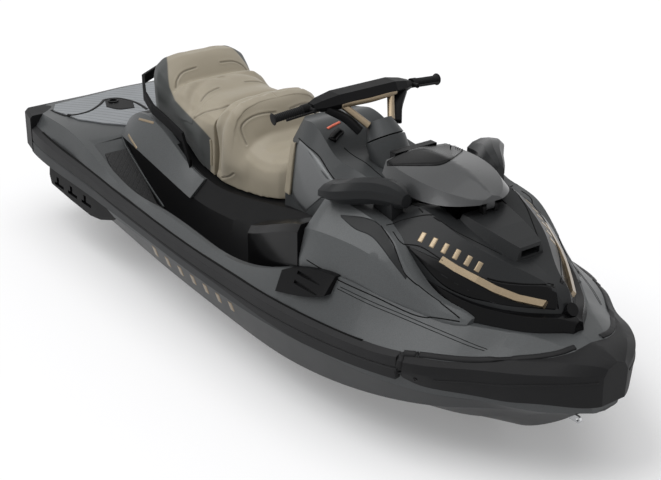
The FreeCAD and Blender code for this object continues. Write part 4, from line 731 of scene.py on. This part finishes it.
def dress_nodes():
    """The frame's own pieces with their finishes, their edges rounded by modifiers."""
    edge = sizes().edge_radius
    for name, (material, rounding) in NODE_FINISHES.items():
        obj = NODES[name]
        for i in range(len(obj.material_slots)):
            obj.material_slots[i].material = MATERIALS[material]
        weld = obj.modifiers.new("weld", "WELD")
        weld.merge_threshold = WELD_REACH
        if rounding:
            bevel = obj.modifiers.new("edges", "BEVEL")
            bevel.width = edge * rounding
            bevel.segments = 2
            bevel.limit_method = "ANGLE"
            bevel.angle_limit = EDGE_ANGLE
            bevel.harden_normals = True
        even = obj.modifiers.new("normals", "WEIGHTED_NORMAL")
        even.keep_sharp = True


# Seats


# Rounds of smoothing before the swelling, frames that it takes, its pressure, and rounds that even it out
EASE_ROUNDS = 14
SWELL_FRAMES = 20
SWELL_PRESSURE = 4.0
EVEN_ROUNDS = 60
# The swelling grows from nothing to all of itself between these heights over the foot
FOOT_HELD, FOOT_FREE = 0.02, 0.1
# The ends swell by this share, and the rest takes over within this length
END_SHARE, END_LENGTH = 0.35, 0.03
# Beside a crease the vinyl stands up: where and how broadly, in breadths of the crease, and by what share
SHOULDER_PLACE, SHOULDER_BREADTH, SHOULDER_RISE = 2.6, 1.6, 0.3
# A crease is looked for only within this distance of its line
CREASE_REACH = 0.05
# Rolls and sewn folds: depth as a share of the usual crease, and breadth
ROLL = (1.3, 0.024)
FOLD = (0.5, 0.0035)
# The knee pads' cell and inset, and how full every padded part is
PAD_CELL, PAD_INSET = 0.0035, 0.001
# The back of the passenger's seat is dark where it faces this much backwards, behind this x
BACK_FACING, BACK_PLACE = (0.45, 0.6), (0.94, 0.96)
# Half the breadth of the side panel's edge, in places of the enlargement
SIDE_EDGE = 4


def object_points(obj):
    """The points of an object's mesh."""
    points = np.empty(len(obj.data.vertices) * 3)
    obj.data.vertices.foreach_get("co", points)
    return points.reshape(-1, 3)


def object_normals(obj):
    """The normals at those points."""
    normals = np.empty(len(obj.data.vertices) * 3)
    obj.data.vertices.foreach_get("normal", normals)
    return normals.reshape(-1, 3)


def set_points(obj, points):
    """Moves the points of an object's mesh."""
    obj.data.vertices.foreach_set("co", points.reshape(-1))
    obj.data.update()


def apply_modifiers(obj):
    """Gives an object the mesh that its modifiers make, and takes them off."""
    depsgraph = bpy.context.evaluated_depsgraph_get()
    mesh = bpy.data.meshes.new_from_object(obj.evaluated_get(depsgraph))
    obj.modifiers.clear()
    obj.data = mesh


def smoothstep(values, low, high):
    """0 below the low value and 1 above the high one, with 3t^2 - 2t^3 between."""
    t = np.clip((values - low) / (high - low), 0, 1)
    return t * t * (3 - 2 * t)


def evened(obj, values, rounds):
    """Values at the vertices, each averaged with its neighbours' again and again."""
    edges = np.empty(len(obj.data.edges) * 2, dtype=np.int32)
    obj.data.edges.foreach_get("vertices", edges)
    ends = edges.reshape(-1, 2)
    count = np.bincount(edges, minlength=len(values))[:, None]
    for _ in range(rounds):
        total = np.zeros_like(values)
        np.add.at(total, ends[:, 0], values[ends[:, 1]])
        np.add.at(total, ends[:, 1], values[ends[:, 0]])
        values = (values + total / count) / 2
    return values


def seat_cover(name, node, cell, inset):
    """A padded part: its solid taken in a little, remeshed, swollen by air pressure as cloth, and subdivided.

    The swelling is evened out over the surface, so that tight vinyl keeps no crumples.
    """
    size = sizes()
    mesh = NODES[node].data.copy()
    mesh.name = name
    edit = bmesh.new()
    edit.from_mesh(mesh)
    bmesh.ops.remove_doubles(edit, verts=edit.verts, dist=WELD_REACH)
    edit.to_mesh(mesh)
    edit.free()
    obj = bpy.data.objects.new(name, mesh)
    bpy.context.scene.collection.objects.link(obj)
    remesh = obj.modifiers.new("remesh", "REMESH")
    remesh.mode = "VOXEL"
    remesh.voxel_size = cell
    ease = obj.modifiers.new("ease", "SMOOTH")
    ease.iterations = EASE_ROUNDS
    apply_modifiers(obj)
    rest = object_points(obj) - object_normals(obj) * inset
    set_points(obj, rest)
    cloth = obj.modifiers.new("cloth", "CLOTH")
    cloth.settings.quality = 4
    cloth.settings.use_pressure = True
    cloth.settings.uniform_pressure_force = SWELL_PRESSURE
    cloth.settings.tension_stiffness = 20
    cloth.settings.bending_stiffness = 1.0
    cloth.settings.effector_weights.gravity = 0.0
    cloth.point_cache.frame_start = 1
    cloth.point_cache.frame_end = SWELL_FRAMES
    for step in range(1, SWELL_FRAMES + 1):
        bpy.context.scene.frame_set(step)
    apply_modifiers(obj)
    bpy.context.scene.frame_set(1)
    moved = object_points(obj) - rest
    length = np.linalg.norm(moved, axis=1)
    cap = np.minimum(1.0, size.seat_swell / np.maximum(length, 1e-9))
    low = rest[:, 2].min()
    free = smoothstep(rest[:, 2], low + FOOT_HELD, low + FOOT_FREE)
    behind = smoothstep(rest[:, 0] - rest[:, 0].min(), 0.0, END_LENGTH)
    ahead = smoothstep(rest[:, 0].max() - rest[:, 0], 0.0, END_LENGTH)
    share = cap * free * (END_SHARE + (1 - END_SHARE) * behind * ahead)
    swelling = evened(obj, moved * share[:, None], EVEN_ROUNDS)
    set_points(obj, rest + swelling)
    finer = obj.modifiers.new("finer", "SUBSURF")
    finer.levels = finer.render_levels = 1
    apply_modifiers(obj)
    return obj


def crease(obj, rows, depth, breadth):
    """Sewn creases: points near each line go in along their normals, as a bell over their distance to it."""
    points, normals = object_points(obj), object_normals(obj)
    tree = search_tree(obj.name)
    nearest = np.full(len(points), 1.0)
    for enlargement, places in rows:
        path = traced(places, enlargement, tree)
        path, _ = settled(smooth_path(path[path[:, 1] < 0.004], 90), tree)
        for line in (path, path * np.array([1, -1, 1])):
            box = np.all((points > line.min(0) - CREASE_REACH) & (points < line.max(0) + CREASE_REACH), axis=1)
            gaps = np.linalg.norm(points[box][:, None] - line[None], axis=2).min(axis=1)
            nearest[box] = np.minimum(nearest[box], gaps)
    bell = np.exp(-((nearest / breadth) ** 2))
    shoulder = np.exp(-(((nearest - SHOULDER_PLACE * breadth) / (SHOULDER_BREADTH * breadth)) ** 2))
    set_points(obj, points + normals * (shoulder * SHOULDER_RISE - bell)[:, None] * depth)
    return bell


def set_attribute(obj, name, values):
    """A value at each point, which materials read by its name."""
    attribute = obj.data.attributes.new(name, "FLOAT", "POINT")
    attribute.data.foreach_set("value", values.astype(np.float32))


# Sewn lines of the seats, and the edge of the passenger seat's side panel, as places in the picture
REAR_CREASES = [
    (REAR, [(836, 132), (842, 95), (870, 58), (930, 36), (1010, 30), (1075, 45), (1122, 72)]),
    (REAR, [(956, 195), (985, 160), (1040, 132), (1110, 120), (1180, 128), (1215, 145)]),
    (REAR, [(922, 278), (960, 255), (1005, 240), (1050, 230), (1088, 216)]),
]
REAR_ROLLS = [(REAR, [
    (905, 235), (915, 170), (945, 115), (1000, 82), (1060, 75), (1130, 85), (1200, 110), (1235, 128),
])]
FRONT_CREASES = [
    (REAR, [(1172, 402), (1156, 365), (1146, 325), (1160, 298), (1195, 272), (1245, 255), (1310, 248), (1372, 262)]),
    (REAR, [(1055, 560), (1090, 553), (1112, 538)]),
]
FRONT_ROLLS = [(REAR, [
    (1040, 520), (1044, 420), (1052, 320), (1085, 245), (1140, 195), (1230, 165), (1330, 163), (1425, 195),
])]
SEAT_SIDE_EDGE = [
    (790, -40), (796, 20), (800, 90), (806, 130), (832, 192), (868, 232), (925, 290), (965, 332), (1002, 374),
    (1000, 570),
]
PIPING_PLACES = [(REAR, [(1001, 378), (1005, 430), (1006, 500), (1004, 560)])]
PIPING_SECTION = (0.012, 0.005)


def padding(obj, node, material):
    """A padded part in its vinyl, riding on the craft in place of its node."""
    obj.data.polygons.foreach_set("use_smooth", np.ones(len(obj.data.polygons), dtype=bool))
    obj.data.materials.clear()
    obj.data.materials.append(MATERIALS[material])
    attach(obj, "craft")
    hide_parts(node)


def make_seats():
    """Both seats, with their rolls and sewn folds, and the passenger seat's dark side panels."""
    size = sizes()
    for name, node, rows, rolls in (
        ("rear_seat_cover", "seat_rear", REAR_CREASES, REAR_ROLLS),
        ("front_seat_cover", "seat_front", FRONT_CREASES, FRONT_ROLLS),
    ):
        obj = seat_cover(name, node, size.seat_cell, size.seat_inset)
        crease(obj, rolls, size.crease_depth * ROLL[0], ROLL[1])
        folds = crease(obj, rows, size.crease_depth * FOLD[0], FOLD[1])
        points = object_points(obj)
        side = np.zeros(len(points))
        if node == "seat_rear":
            across, down = pictured(points * np.array([1, 0, 1]) - np.abs(points) * np.array([0, 1, 0]), REAR)
            edge = np.array(SEAT_SIDE_EDGE, dtype=float)
            side = smoothstep(np.interp(down, edge[:, 1], edge[:, 0]) - across, -SIDE_EDGE, SIDE_EDGE)
            behind = smoothstep(-object_normals(obj)[:, 0], *BACK_FACING) * smoothstep(-points[:, 0], *BACK_PLACE)
            side = np.maximum(side, behind)
        set_attribute(obj, "side", side)
        # The crease attribute marks where the vinyl is painted darker, as shade in its sewn folds.
        set_attribute(obj, "crease", folds * (1 - side))
        padding(obj, node, "seat_vinyl")


def make_knee_pads():
    """The pads beside the driver's knees, softened and swollen as the seats are."""
    padding(seat_cover("knee_pad_covers", "knee_pads", PAD_CELL, PAD_INSET), "knee_pads", "piping_vinyl")


def make_piping():
    """Piping down the front edge of the passenger seat's side panel."""
    surface_strips(
        "seat_piping", PIPING_PLACES, ("rear_seat_cover",), flat_section(*PIPING_SECTION), "piping_vinyl"
    )


# Trims


# Joints between panels: what carries them, and their places in the picture
SEAMS = {
    "console_seams": (("console", "hood", "storage_lid"), [
        (FRONT, [(186, 298), (215, 325), (262, 365), (300, 425), (336, 474)]),
        (FRONT, [(360, 335), (430, 385), (480, 425), (530, 470), (600, 530), (660, 582)]),
    ]),
    "hood_seams": (("hood", "console", "fairings"), [
        (FRONT, [(520, 630), (560, 618), (610, 603), (665, 592), (700, 592)]),
        (FRONT, [(700, 600), (780, 650), (860, 692), (960, 742)]),
        (FRONT, [(545, 655), (575, 695), (650, 712), (735, 765)]),
        (FRONT, [(905, 832), (960, 845), (1060, 855), (1160, 857)]),
    ]),
    "fairing_seams": (("fairings", "deck"), [
        (FRONT, [(216, 762), (300, 815), (350, 846), (480, 905), (625, 972), (720, 985), (800, 998)]),
        (FRONT, [(500, 632), (545, 700), (575, 780), (602, 828), (700, 905), (800, 985)]),
    ]),
    "deck_seams": (("deck",), [
        (FRONT, [(332, 872), (450, 930), (560, 976), (700, 1035), (820, 1085), (895, 1110)]),
        (FRONT, [(345, 866), (460, 920), (575, 968), (715, 1027), (835, 1077), (905, 1104)]),
    ]),
}
# The fine lines drawn on the deck are narrower and lower than the joints, by these shares
FINE_BREADTH, FINE_HEIGHT = 0.6, 0.7
# The rib along the bow bumper: breadth as a share of a joint's, and height
RIB_BREADTH, RIB_HEIGHT = 1.6, 0.0025
BUMPER_LINES = [
    (FRONT, [(545, 1200), (700, 1222), (900, 1236), (1100, 1242), (1230, 1240), (1330, 1232)]),
]


def make_seams():
    """The joints between the panels, and the rib along the bow bumper."""
    size = sizes()
    section = flat_section(size.seam_breadth, size.seam_height)
    fine = flat_section(size.seam_breadth * FINE_BREADTH, size.seam_height * FINE_HEIGHT)
    for name, (carriers, rows) in SEAMS.items():
        surface_strips(name, rows, carriers, fine if name == "deck_seams" else section, "seam_black")
    rib = flat_section(size.seam_breadth * RIB_BREADTH, RIB_HEIGHT)
    surface_strips("bumper_ribs", BUMPER_LINES, ("bow_bumper",), rib, "bumper_black")


# Stations along the rail, the heights between which its upper edge is sought, and a y outside the craft
RAIL_STATIONS = (-1.5, 1.0, 70)
RAIL_HEIGHTS = (0.05, 0.4)
RAIL_HALVINGS = 14
# Fewer stations than this mean that the rail wasn't found
RAIL_LEAST = 60
OUTSIDE = -1.0
RAIL_JOINT = (0.009, 0.0015)


def make_rail_joints():
    """The dark joint between the deck and each rail, along the highest points of the rail seen from its side."""
    rail, both = search_tree("rub_rail"), search_tree("rub_rail", "deck")
    points = []
    for x in np.linspace(*RAIL_STATIONS):
        (low, high), best = RAIL_HEIGHTS, None
        for _ in range(RAIL_HALVINGS):
            middle = (low + high) / 2
            hit = rail.ray_cast(Vector((x, OUTSIDE, middle)), Vector((0.0, 1.0, 0.0)))[0]
            if hit is None:
                high = middle
            else:
                low, best = middle, hit[:]
        if best:
            points.append(best)
    if len(points) < RAIL_LEAST:
        raise RuntimeError("the rail's upper edge wasn't found")
    points = np.array(points)
    for _ in range(4):
        points[1:-1] = (points[:-2] + 2 * points[1:-1] + points[2:]) / 4
    path, normals = settled(points, both)
    grid = swept(path, normals, flat_section(*RAIL_JOINT))
    joined([grid, mirrored(grid)], "rail_joints", "seam_black", "craft")


# Centres of the bars on the hull's and the hood's sides, half of each bar's run, and its section
HULL_BARS = [(738, 908), (798, 958), (858, 1001), (918, 1043), (978, 1086), (1038, 1129), (1098, 1170)]
HOOD_BARS = [(656, 676), (700, 697), (744, 719), (788, 742), (832, 766), (872, 789)]
HULL_BAR_RUN, HULL_BAR_SECTION = (8, 20), (0.03, 0.0015)
HOOD_BAR_RUN, HOOD_BAR_SECTION = (-10, 18), (0.02, 0.0012)


def bar_rows(enlargement, centres, run):
    """Three places for each bar: its two ends and its centre between them."""
    return [(enlargement, [(x - run[0], y - run[1]), (x, y), (x + run[0], y + run[1])]) for x, y in centres]


def make_bars():
    """Plain slanting bars on the hull's and the hood's sides."""
    for name, carrier, rows, section in (
        ("hull_bars", "hull", bar_rows(REAR, HULL_BARS, HULL_BAR_RUN), HULL_BAR_SECTION),
        ("hood_bars", "hood", bar_rows(FRONT, HOOD_BARS, HOOD_BAR_RUN), HOOD_BAR_SECTION),
    ):
        surface_strips(name, rows, (carrier,), flat_section(*section), "champagne", count=12)


# Plates laid on the craft: upper edge, lower edge, enlargement, carriers, lift, material, slot, body, both sides
PANELS = {
    "nose_gloss": (
        [(600, 708), (700, 752), (800, 792), (905, 834), (1000, 853), (1165, 858)],
        [(604, 716), (722, 848), (815, 900), (900, 922), (1000, 940), (1180, 955)],
        FRONT, ("hood",), 0.0006, "gloss_black", "gloss_black", "craft", True,
    ),
    "visor_cowl": (
        [(522, 388), (585, 352), (650, 330), (745, 318), (822, 332)],
        [(524, 404), (590, 404), (665, 404), (742, 396), (826, 336)],
        FRONT, ("storage_lid",), 0.004, "gloss_black", "gloss_black", "lid", False,
    ),
    "fairing_swoosh": (
        [(345, 590), (450, 604), (505, 640), (560, 740), (598, 830)],
        [(347, 600), (400, 645), (470, 680), (545, 775), (594, 838)],
        FRONT, ("fairings",), 0.0012, "hood_charcoal", "hood_charcoal", "craft", True,
    ),
    # A plate of paler grey on the console's side facet: a painted highlight where the light falls on it.
    "console_highlight_facets": (
        [(191, 306), (228, 340), (272, 384), (310, 440), (332, 474)],
        [(178, 330), (160, 400), (150, 470), (168, 530), (212, 578)],
        FRONT, ("console",), 0.0012, "console_highlight_grey", "satin_grey", "craft", True,
    ),
    "cleat_recess": (
        [(497, 186), (560, 182), (632, 198)],
        [(506, 224), (566, 236), (640, 228)],
        REAR, ("deck_mat", "deck"), 0.002, "satin_black", "satin_black", "craft", True,
    ),
}


def make_panels():
    """Gloss and dark panels, and a paler copy of the console's paint as a painted highlight on its lit facet, laid
    over the hood, the lid, the console, the fairings and the mat.
    """
    for name, panel in PANELS.items():
        surface_patch(name, *panel)


# The starboard yoke arm from the pad to the column, the bridge between the arms, and their breadths and depths
YOKE_PATH = [(0.316, -0.19, KEEL + 1.06), (0.362, -0.13, KEEL + 1.02), (0.405, -0.092, KEEL + 0.972)]
YOKE_SECTION = (0.044, 0.03)
BRIDGE_PATH = [(0.345, -0.138, KEEL + 1.072), (0.352, 0.0, KEEL + 1.068), (0.345, 0.138, KEEL + 1.072)]
BRIDGE_SECTION = (0.012, 0.02)


def make_bar_fittings():
    """The bar's black yoke arms, and the pale bridge between their upper corners."""
    arm = beam(YOKE_PATH, *YOKE_SECTION)
    joined([arm, mirrored(arm)], "yoke_arms", "satin_black", "steering")
    joined([beam(BRIDGE_PATH, *BRIDGE_SECTION)], "bar_bridge", "champagne", "steering")


# The bow bumper's upper edge from its end by the rail to the stem
BUMPER_EDGE = [
    (588, 1118), (650, 1124), (730, 1134), (812, 1142), (900, 1143), (1000, 1139), (1100, 1131), (1180, 1117),
    (1240, 1096), (1310, 1073), (1366, 1056), (1394, 1030), (1396, 990), (1376, 942), (1358, 914),
]


# The same bumper's end, down beside the rail
BUMPER_END = [(580, 1116), (570, 1150), (562, 1206)]
LIP_SECTION = (0.022, 0.004)
BUMPER_BOLTS = [(630, 1218)]
BOLT_RADIUS, BOLT_HEIGHT = 0.008, 0.003
# A raised rib along the footwell's panel edge, in pale grey: a painted highlight on that edge.
FOOTWELL_HIGHLIGHT_RIB = [(580, 360), (610, 425), (665, 520), (720, 610), (780, 700)]
FOOTWELL_HIGHLIGHT_RIB_SECTION = (0.012, 0.005)
MAT_BORDERS = [
    [(246, 238), (300, 262), (345, 262), (420, 245), (470, 215), (497, 188)],
    [(497, 188), (560, 182), (640, 200), (700, 235)],
]
MAT_BORDER_SECTION = (0.016, 0.003)


def make_edges():
    """Covers and a bolt on the bow bumper, ribs in the footwells whose pale grey is a painted highlight along the
    panel edge, and borders on the mat.
    """
    surface_strips(
        "bumper_lips", [(FRONT, BUMPER_EDGE), (FRONT, BUMPER_END)], ("bow_bumper", "deck", "rub_rail"),
        flat_section(*LIP_SECTION), "bumper_black", count=120,
    )
    studs(
        "bumper_bolts", FRONT, BUMPER_BOLTS, ("bow_bumper",), BOLT_RADIUS, BOLT_HEIGHT, "gloss_black"
    )
    # The rib's pale grey paints the highlight along the footwell's edge.
    surface_strips(
        "footwell_highlight_ribs", [(REAR, FOOTWELL_HIGHLIGHT_RIB)], ("footwell_mats", "deck", "pedestal"),
        flat_section(*FOOTWELL_HIGHLIGHT_RIB_SECTION), "satin_grey",
    )
    surface_strips(
        "mat_borders", [(REAR, places) for places in MAT_BORDERS], ("deck_mat", "deck"),
        flat_section(*MAT_BORDER_SECTION), "satin_black",
    )


# The starboard grip's two ends, its radius, and its ribs' height and number
GRIP_END = np.array((0.272, -0.4158, KEEL + 1.051))
GRIP_ROOT = np.array((0.2855, -0.2855, KEEL + 1.0665))
GRIP_RADIUS = 0.0155
GRIP_RIB = 0.0014
GRIP_RIBS = 17
# Points along a grip and round it
GRIP_STEPS, GRIP_POINTS = 121, 24
# The flange at the outer end and the collar at the inner one: how far they stand out, and their share of the length
FLANGE, FLANGE_SHARE = 0.0085, 0.045
COLLAR, COLLAR_SHARE = 0.004, 0.04
END_ROUNDING = 0.8


def make_grips():
    """Ribbed rubber grips: a circle carried along the bar, its radius a wave, with a flange and a collar as bells."""
    steps = np.linspace(0, 1, GRIP_STEPS)
    path = GRIP_END + (GRIP_ROOT - GRIP_END) * steps[:, None]
    radius = GRIP_RADIUS + GRIP_RIB * np.sin(steps * 2 * np.pi * GRIP_RIBS)
    radius = radius + FLANGE * np.exp(-((steps / FLANGE_SHARE) ** 2))
    radius = radius + COLLAR * np.exp(-(((steps - 1) / COLLAR_SHARE) ** 2))
    radius[0] *= END_ROUNDING
    along = (GRIP_ROOT - GRIP_END) / np.linalg.norm(GRIP_ROOT - GRIP_END)
    across = np.cross(along, (0, 0, 1.0))
    across /= np.linalg.norm(across)
    up = np.cross(across, along)
    angles = np.arange(GRIP_POINTS) * 2 * np.pi / GRIP_POINTS
    ring = np.cos(angles)[:, None] * across + np.sin(angles)[:, None] * up
    grid = path[:, None] + radius[:, None, None] * ring[None]
    obj = joined([grid, mirrored(grid)], "grip_sleeves", "grip_rubber", "steering")
    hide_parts("grips")


TAG_PLACES, TAG_SECTION = [(296, 262), (318, 250), (342, 238)], (0.012, 0.004)
LATCH_PLACES, LATCH_SECTION = [(312, 308), (325, 290), (345, 272)], (0.034, 0.014)
CHEVRONS = [
    [(548, 268), (600, 266), (660, 280), (730, 299)],
    [(575, 300), (610, 355), (650, 420), (690, 490), (722, 545)],
]
CHEVRON_SECTION = (0.012, 0.001)


def make_small_parts():
    """The lanyard's tag, the glove box's latch and the lines on the rear panels."""
    surface_strips(
        "lanyard_tag", [(FRONT, TAG_PLACES)], ("console",), flat_section(*TAG_SECTION), "tag_orange",
        both=False, count=12,
    )
    surface_strips(
        "glove_latch", [(FRONT, LATCH_PLACES)], ("console",), flat_section(*LATCH_SECTION), "gloss_black",
        both=False, count=12,
    )
    surface_strips(
        "chevron_lines", [(REAR, places) for places in CHEVRONS], ("rear_panels",), flat_section(*CHEVRON_SECTION),
        "champagne",
    )


# Stage


# Share of the floor's look, to the camera and in reflections, that is its own plain white
FLOOR_GLOW_SHARE = 0.15
FLOOR_GLOW = 1.5
# Strength of the world's light on things, whose look to the camera stays at 1
WORLD_LIGHT = 0.42
FLOOR_REACH = 40.0
FLOOR_GAP = 0.001
FLOOR_WHITE = linear(244, 244, 245)
# Soft suns: name, aim, breadth in degrees and strength
LAMPS = (
    ("key", (0.35, 0.6, -1.0), 45, 1.3),
    ("top", (0.0, 0.0, -1.0), 60, 0.9),
)


def seen_directly(tree):
    """1 for what the camera, a reflection or a clear body sees, and 0 for light that falls on things."""
    path = add_node(tree, "ShaderNodeLightPath")
    seen = maths(tree, "MAXIMUM", path.outputs["Is Camera Ray"], path.outputs["Is Glossy Ray"])
    return maths(tree, "MAXIMUM", seen, path.outputs["Is Transmission Ray"])


def build_floor():
    """A white floor just under the keel, part of whose look is its own plain white."""
    mesh = bpy.data.meshes.new("floor")
    corners = np.array([(-1, -1), (1, -1), (1, 1), (-1, 1)]) * FLOOR_REACH
    points = np.column_stack([corners, np.full(4, KEEL - FLOOR_GAP)])
    mesh.from_pydata(points.tolist(), [], [(0, 1, 2, 3)])
    floor = bpy.data.objects.new("floor", mesh)
    bpy.context.scene.collection.objects.link(floor)
    material = bpy.data.materials.new("floor")
    material.use_nodes = True
    tree = material.node_tree
    tree.nodes.clear()
    output = tree.nodes.new("ShaderNodeOutputMaterial")
    diffuse = add_node(tree, "ShaderNodeBsdfDiffuse", Color=(*FLOOR_WHITE, 1.0))
    glow = add_node(tree, "ShaderNodeEmission", Strength=FLOOR_GLOW)
    share = maths(tree, "MULTIPLY", seen_directly(tree), FLOOR_GLOW_SHARE)
    mixed = add_node(tree, "ShaderNodeMixShader", _0=share, _1=diffuse.outputs[0], _2=glow.outputs[0])
    tree.links.new(mixed.outputs[0], output.inputs[0])
    mesh.materials.append(material)


def build_world():
    """White all round, seen at 1 and lighting things more weakly."""
    world = bpy.data.worlds.new("studio")
    bpy.context.scene.world = world
    world.use_nodes = True
    tree = world.node_tree
    background = tree.nodes["Background"]
    strength = maths(tree, "MULTIPLY_ADD", seen_directly(tree), 1 - WORLD_LIGHT, WORLD_LIGHT)
    tree.links.new(strength, background.inputs["Strength"])
    background.inputs["Color"].default_value = (1, 1, 1, 1)


def build_stage():
    """The floor, the world, the soft suns and the camera."""
    build_floor()
    build_world()
    for name, aim, breadth, strength in LAMPS:
        data = bpy.data.lights.new(name, "SUN")
        data.energy = strength
        data.angle = math.radians(breadth)
        lamp = bpy.data.objects.new(name, data)
        lamp.rotation_euler = Vector(aim).to_track_quat("-Z", "Y").to_euler()
        bpy.context.scene.collection.objects.link(lamp)

    data = bpy.data.cameras.new("camera")
    data.lens = CAMERA_LENS
    data.sensor_width = SENSOR
    camera = bpy.data.objects.new("camera", data)
    matrix = np.eye(4)
    matrix[:3, 0] = CAMERA_RIGHT / np.linalg.norm(CAMERA_RIGHT)
    back = np.cross(CAMERA_RIGHT, CAMERA_UP)
    matrix[:3, 2] = back / np.linalg.norm(back)
    matrix[:3, 1] = np.cross(matrix[:3, 2], matrix[:3, 0])
    matrix[:3, 3] = CAMERA_PLACE
    camera.matrix_world = Matrix(matrix.tolist())
    bpy.context.scene.collection.objects.link(camera)
    bpy.context.scene.camera = camera
    bpy.context.scene.view_settings.view_transform = "Standard"


class WATERCRAFT_OT_materials(bpy.types.Operator):
    """Builds the shader groups and the craft's materials"""

    bl_idname = "watercraft.materials"
    bl_label = "Materials"

    def execute(self, context):
        build_groups()
        build_materials()
        return {"FINISHED"}


class WATERCRAFT_OT_frame(bpy.types.Operator):
    """Finishes the frame's own pieces and rounds their edges"""

    bl_idname = "watercraft.frame"
    bl_label = "Frame"

    def execute(self, context):
        dress_nodes()
        return {"FINISHED"}


class WATERCRAFT_OT_seats(bpy.types.Operator):
    """Makes the padded seats"""

    bl_idname = "watercraft.seats"
    bl_label = "Seats"

    def execute(self, context):
        make_seats()
        return {"FINISHED"}


class WATERCRAFT_OT_knee_pads(bpy.types.Operator):
    """Makes the padded strips beside the driver's knees"""

    bl_idname = "watercraft.knee_pads"
    bl_label = "Knee pads"

    def execute(self, context):
        make_knee_pads()
        return {"FINISHED"}


class WATERCRAFT_OT_piping(bpy.types.Operator):
    """Lays the piping of the passenger seat"""

    bl_idname = "watercraft.piping"
    bl_label = "Piping"

    def execute(self, context):
        make_piping()
        return {"FINISHED"}


class WATERCRAFT_OT_seams(bpy.types.Operator):
    """Lays the joints between the panels"""

    bl_idname = "watercraft.seams"
    bl_label = "Panel joints"

    def execute(self, context):
        make_seams()
        return {"FINISHED"}


class WATERCRAFT_OT_rail_joints(bpy.types.Operator):
    """Lays the joint between the deck and each rail"""

    bl_idname = "watercraft.rail_joints"
    bl_label = "Rail joints"

    def execute(self, context):
        make_rail_joints()
        return {"FINISHED"}


class WATERCRAFT_OT_bars(bpy.types.Operator):
    """Lays the bars on the hull's and the hood's sides"""

    bl_idname = "watercraft.bars"
    bl_label = "Side bars"

    def execute(self, context):
        make_bars()
        return {"FINISHED"}


class WATERCRAFT_OT_panels(bpy.types.Operator):
    """Lays the gloss and dark panels, and the painted highlight on the console's facet"""

    bl_idname = "watercraft.panels"
    bl_label = "Panels"

    def execute(self, context):
        make_panels()
        return {"FINISHED"}


class WATERCRAFT_OT_edges(bpy.types.Operator):
    """Lays the edge covers, ribs and borders"""

    bl_idname = "watercraft.edges"
    bl_label = "Edges"

    def execute(self, context):
        make_edges()
        return {"FINISHED"}


class WATERCRAFT_OT_bar_fittings(bpy.types.Operator):
    """Makes the yoke arms and the bridge of the handlebar"""

    bl_idname = "watercraft.bar_fittings"
    bl_label = "Bar fittings"

    def execute(self, context):
        make_bar_fittings()
        return {"FINISHED"}


class WATERCRAFT_OT_grips(bpy.types.Operator):
    """Makes the ribbed grips"""

    bl_idname = "watercraft.grips"
    bl_label = "Grips"

    def execute(self, context):
        make_grips()
        return {"FINISHED"}


class WATERCRAFT_OT_small_parts(bpy.types.Operator):
    """Makes the tag, the latch and the panel lines"""

    bl_idname = "watercraft.small_parts"
    bl_label = "Small parts"

    def execute(self, context):
        make_small_parts()
        return {"FINISHED"}


class WATERCRAFT_OT_stage(bpy.types.Operator):
    """Sets the floor, the lamps and the camera"""

    bl_idname = "watercraft.stage"
    bl_label = "Stage"

    def execute(self, context):
        build_stage()
        return {"FINISHED"}


OPERATORS = (
    WATERCRAFT_OT_materials,
    WATERCRAFT_OT_frame,
    WATERCRAFT_OT_seats,
    WATERCRAFT_OT_knee_pads,
    WATERCRAFT_OT_piping,
    WATERCRAFT_OT_seams,
    WATERCRAFT_OT_rail_joints,
    WATERCRAFT_OT_bars,
    WATERCRAFT_OT_panels,
    WATERCRAFT_OT_edges,
    WATERCRAFT_OT_bar_fittings,
    WATERCRAFT_OT_grips,
    WATERCRAFT_OT_small_parts,
    WATERCRAFT_OT_stage,
)


class WATERCRAFT_PT_panel(bpy.types.Panel):
    """Lists the craft's operators, colours and sizes"""

    bl_idname = "WATERCRAFT_PT_panel"
    bl_label = "Watercraft"
    bl_space_type = "VIEW_3D"
    bl_region_type = "UI"
    bl_category = "Watercraft"

    def draw(self, context):
        for operator in OPERATORS:
            self.layout.operator(operator.bl_idname)
        for group in (context.scene.watercraft_colours, context.scene.watercraft_sizes):
            for key in group.__annotations__:
                self.layout.prop(group, key)


CLASSES = (WatercraftColours, WatercraftSizes, *OPERATORS, WATERCRAFT_PT_panel)


def register():
    """Adds the classes, and hangs the colours and sizes on the scene."""
    for item in CLASSES:
        bpy.utils.register_class(item)
    bpy.types.Scene.watercraft_colours = PointerProperty(type=WatercraftColours)
    bpy.types.Scene.watercraft_sizes = PointerProperty(type=WatercraftSizes)


def unregister():
    """Takes them away again."""
    del bpy.types.Scene.watercraft_sizes
    del bpy.types.Scene.watercraft_colours
    for item in reversed(CLASSES):
        bpy.utils.unregister_class(item)


def main():
    """Builds the whole scene in order."""
    register()
    bpy.ops.watercraft.materials()
    bpy.ops.watercraft.frame()
    bpy.ops.watercraft.seats()
    bpy.ops.watercraft.knee_pads()
    bpy.ops.watercraft.piping()
    bpy.ops.watercraft.seams()
    bpy.ops.watercraft.rail_joints()
    bpy.ops.watercraft.bars()
    bpy.ops.watercraft.panels()
    bpy.ops.watercraft.edges()
    bpy.ops.watercraft.bar_fittings()
    bpy.ops.watercraft.grips()
    bpy.ops.watercraft.small_parts()
    bpy.ops.watercraft.stage()


if __name__ == "__main__":
    main()
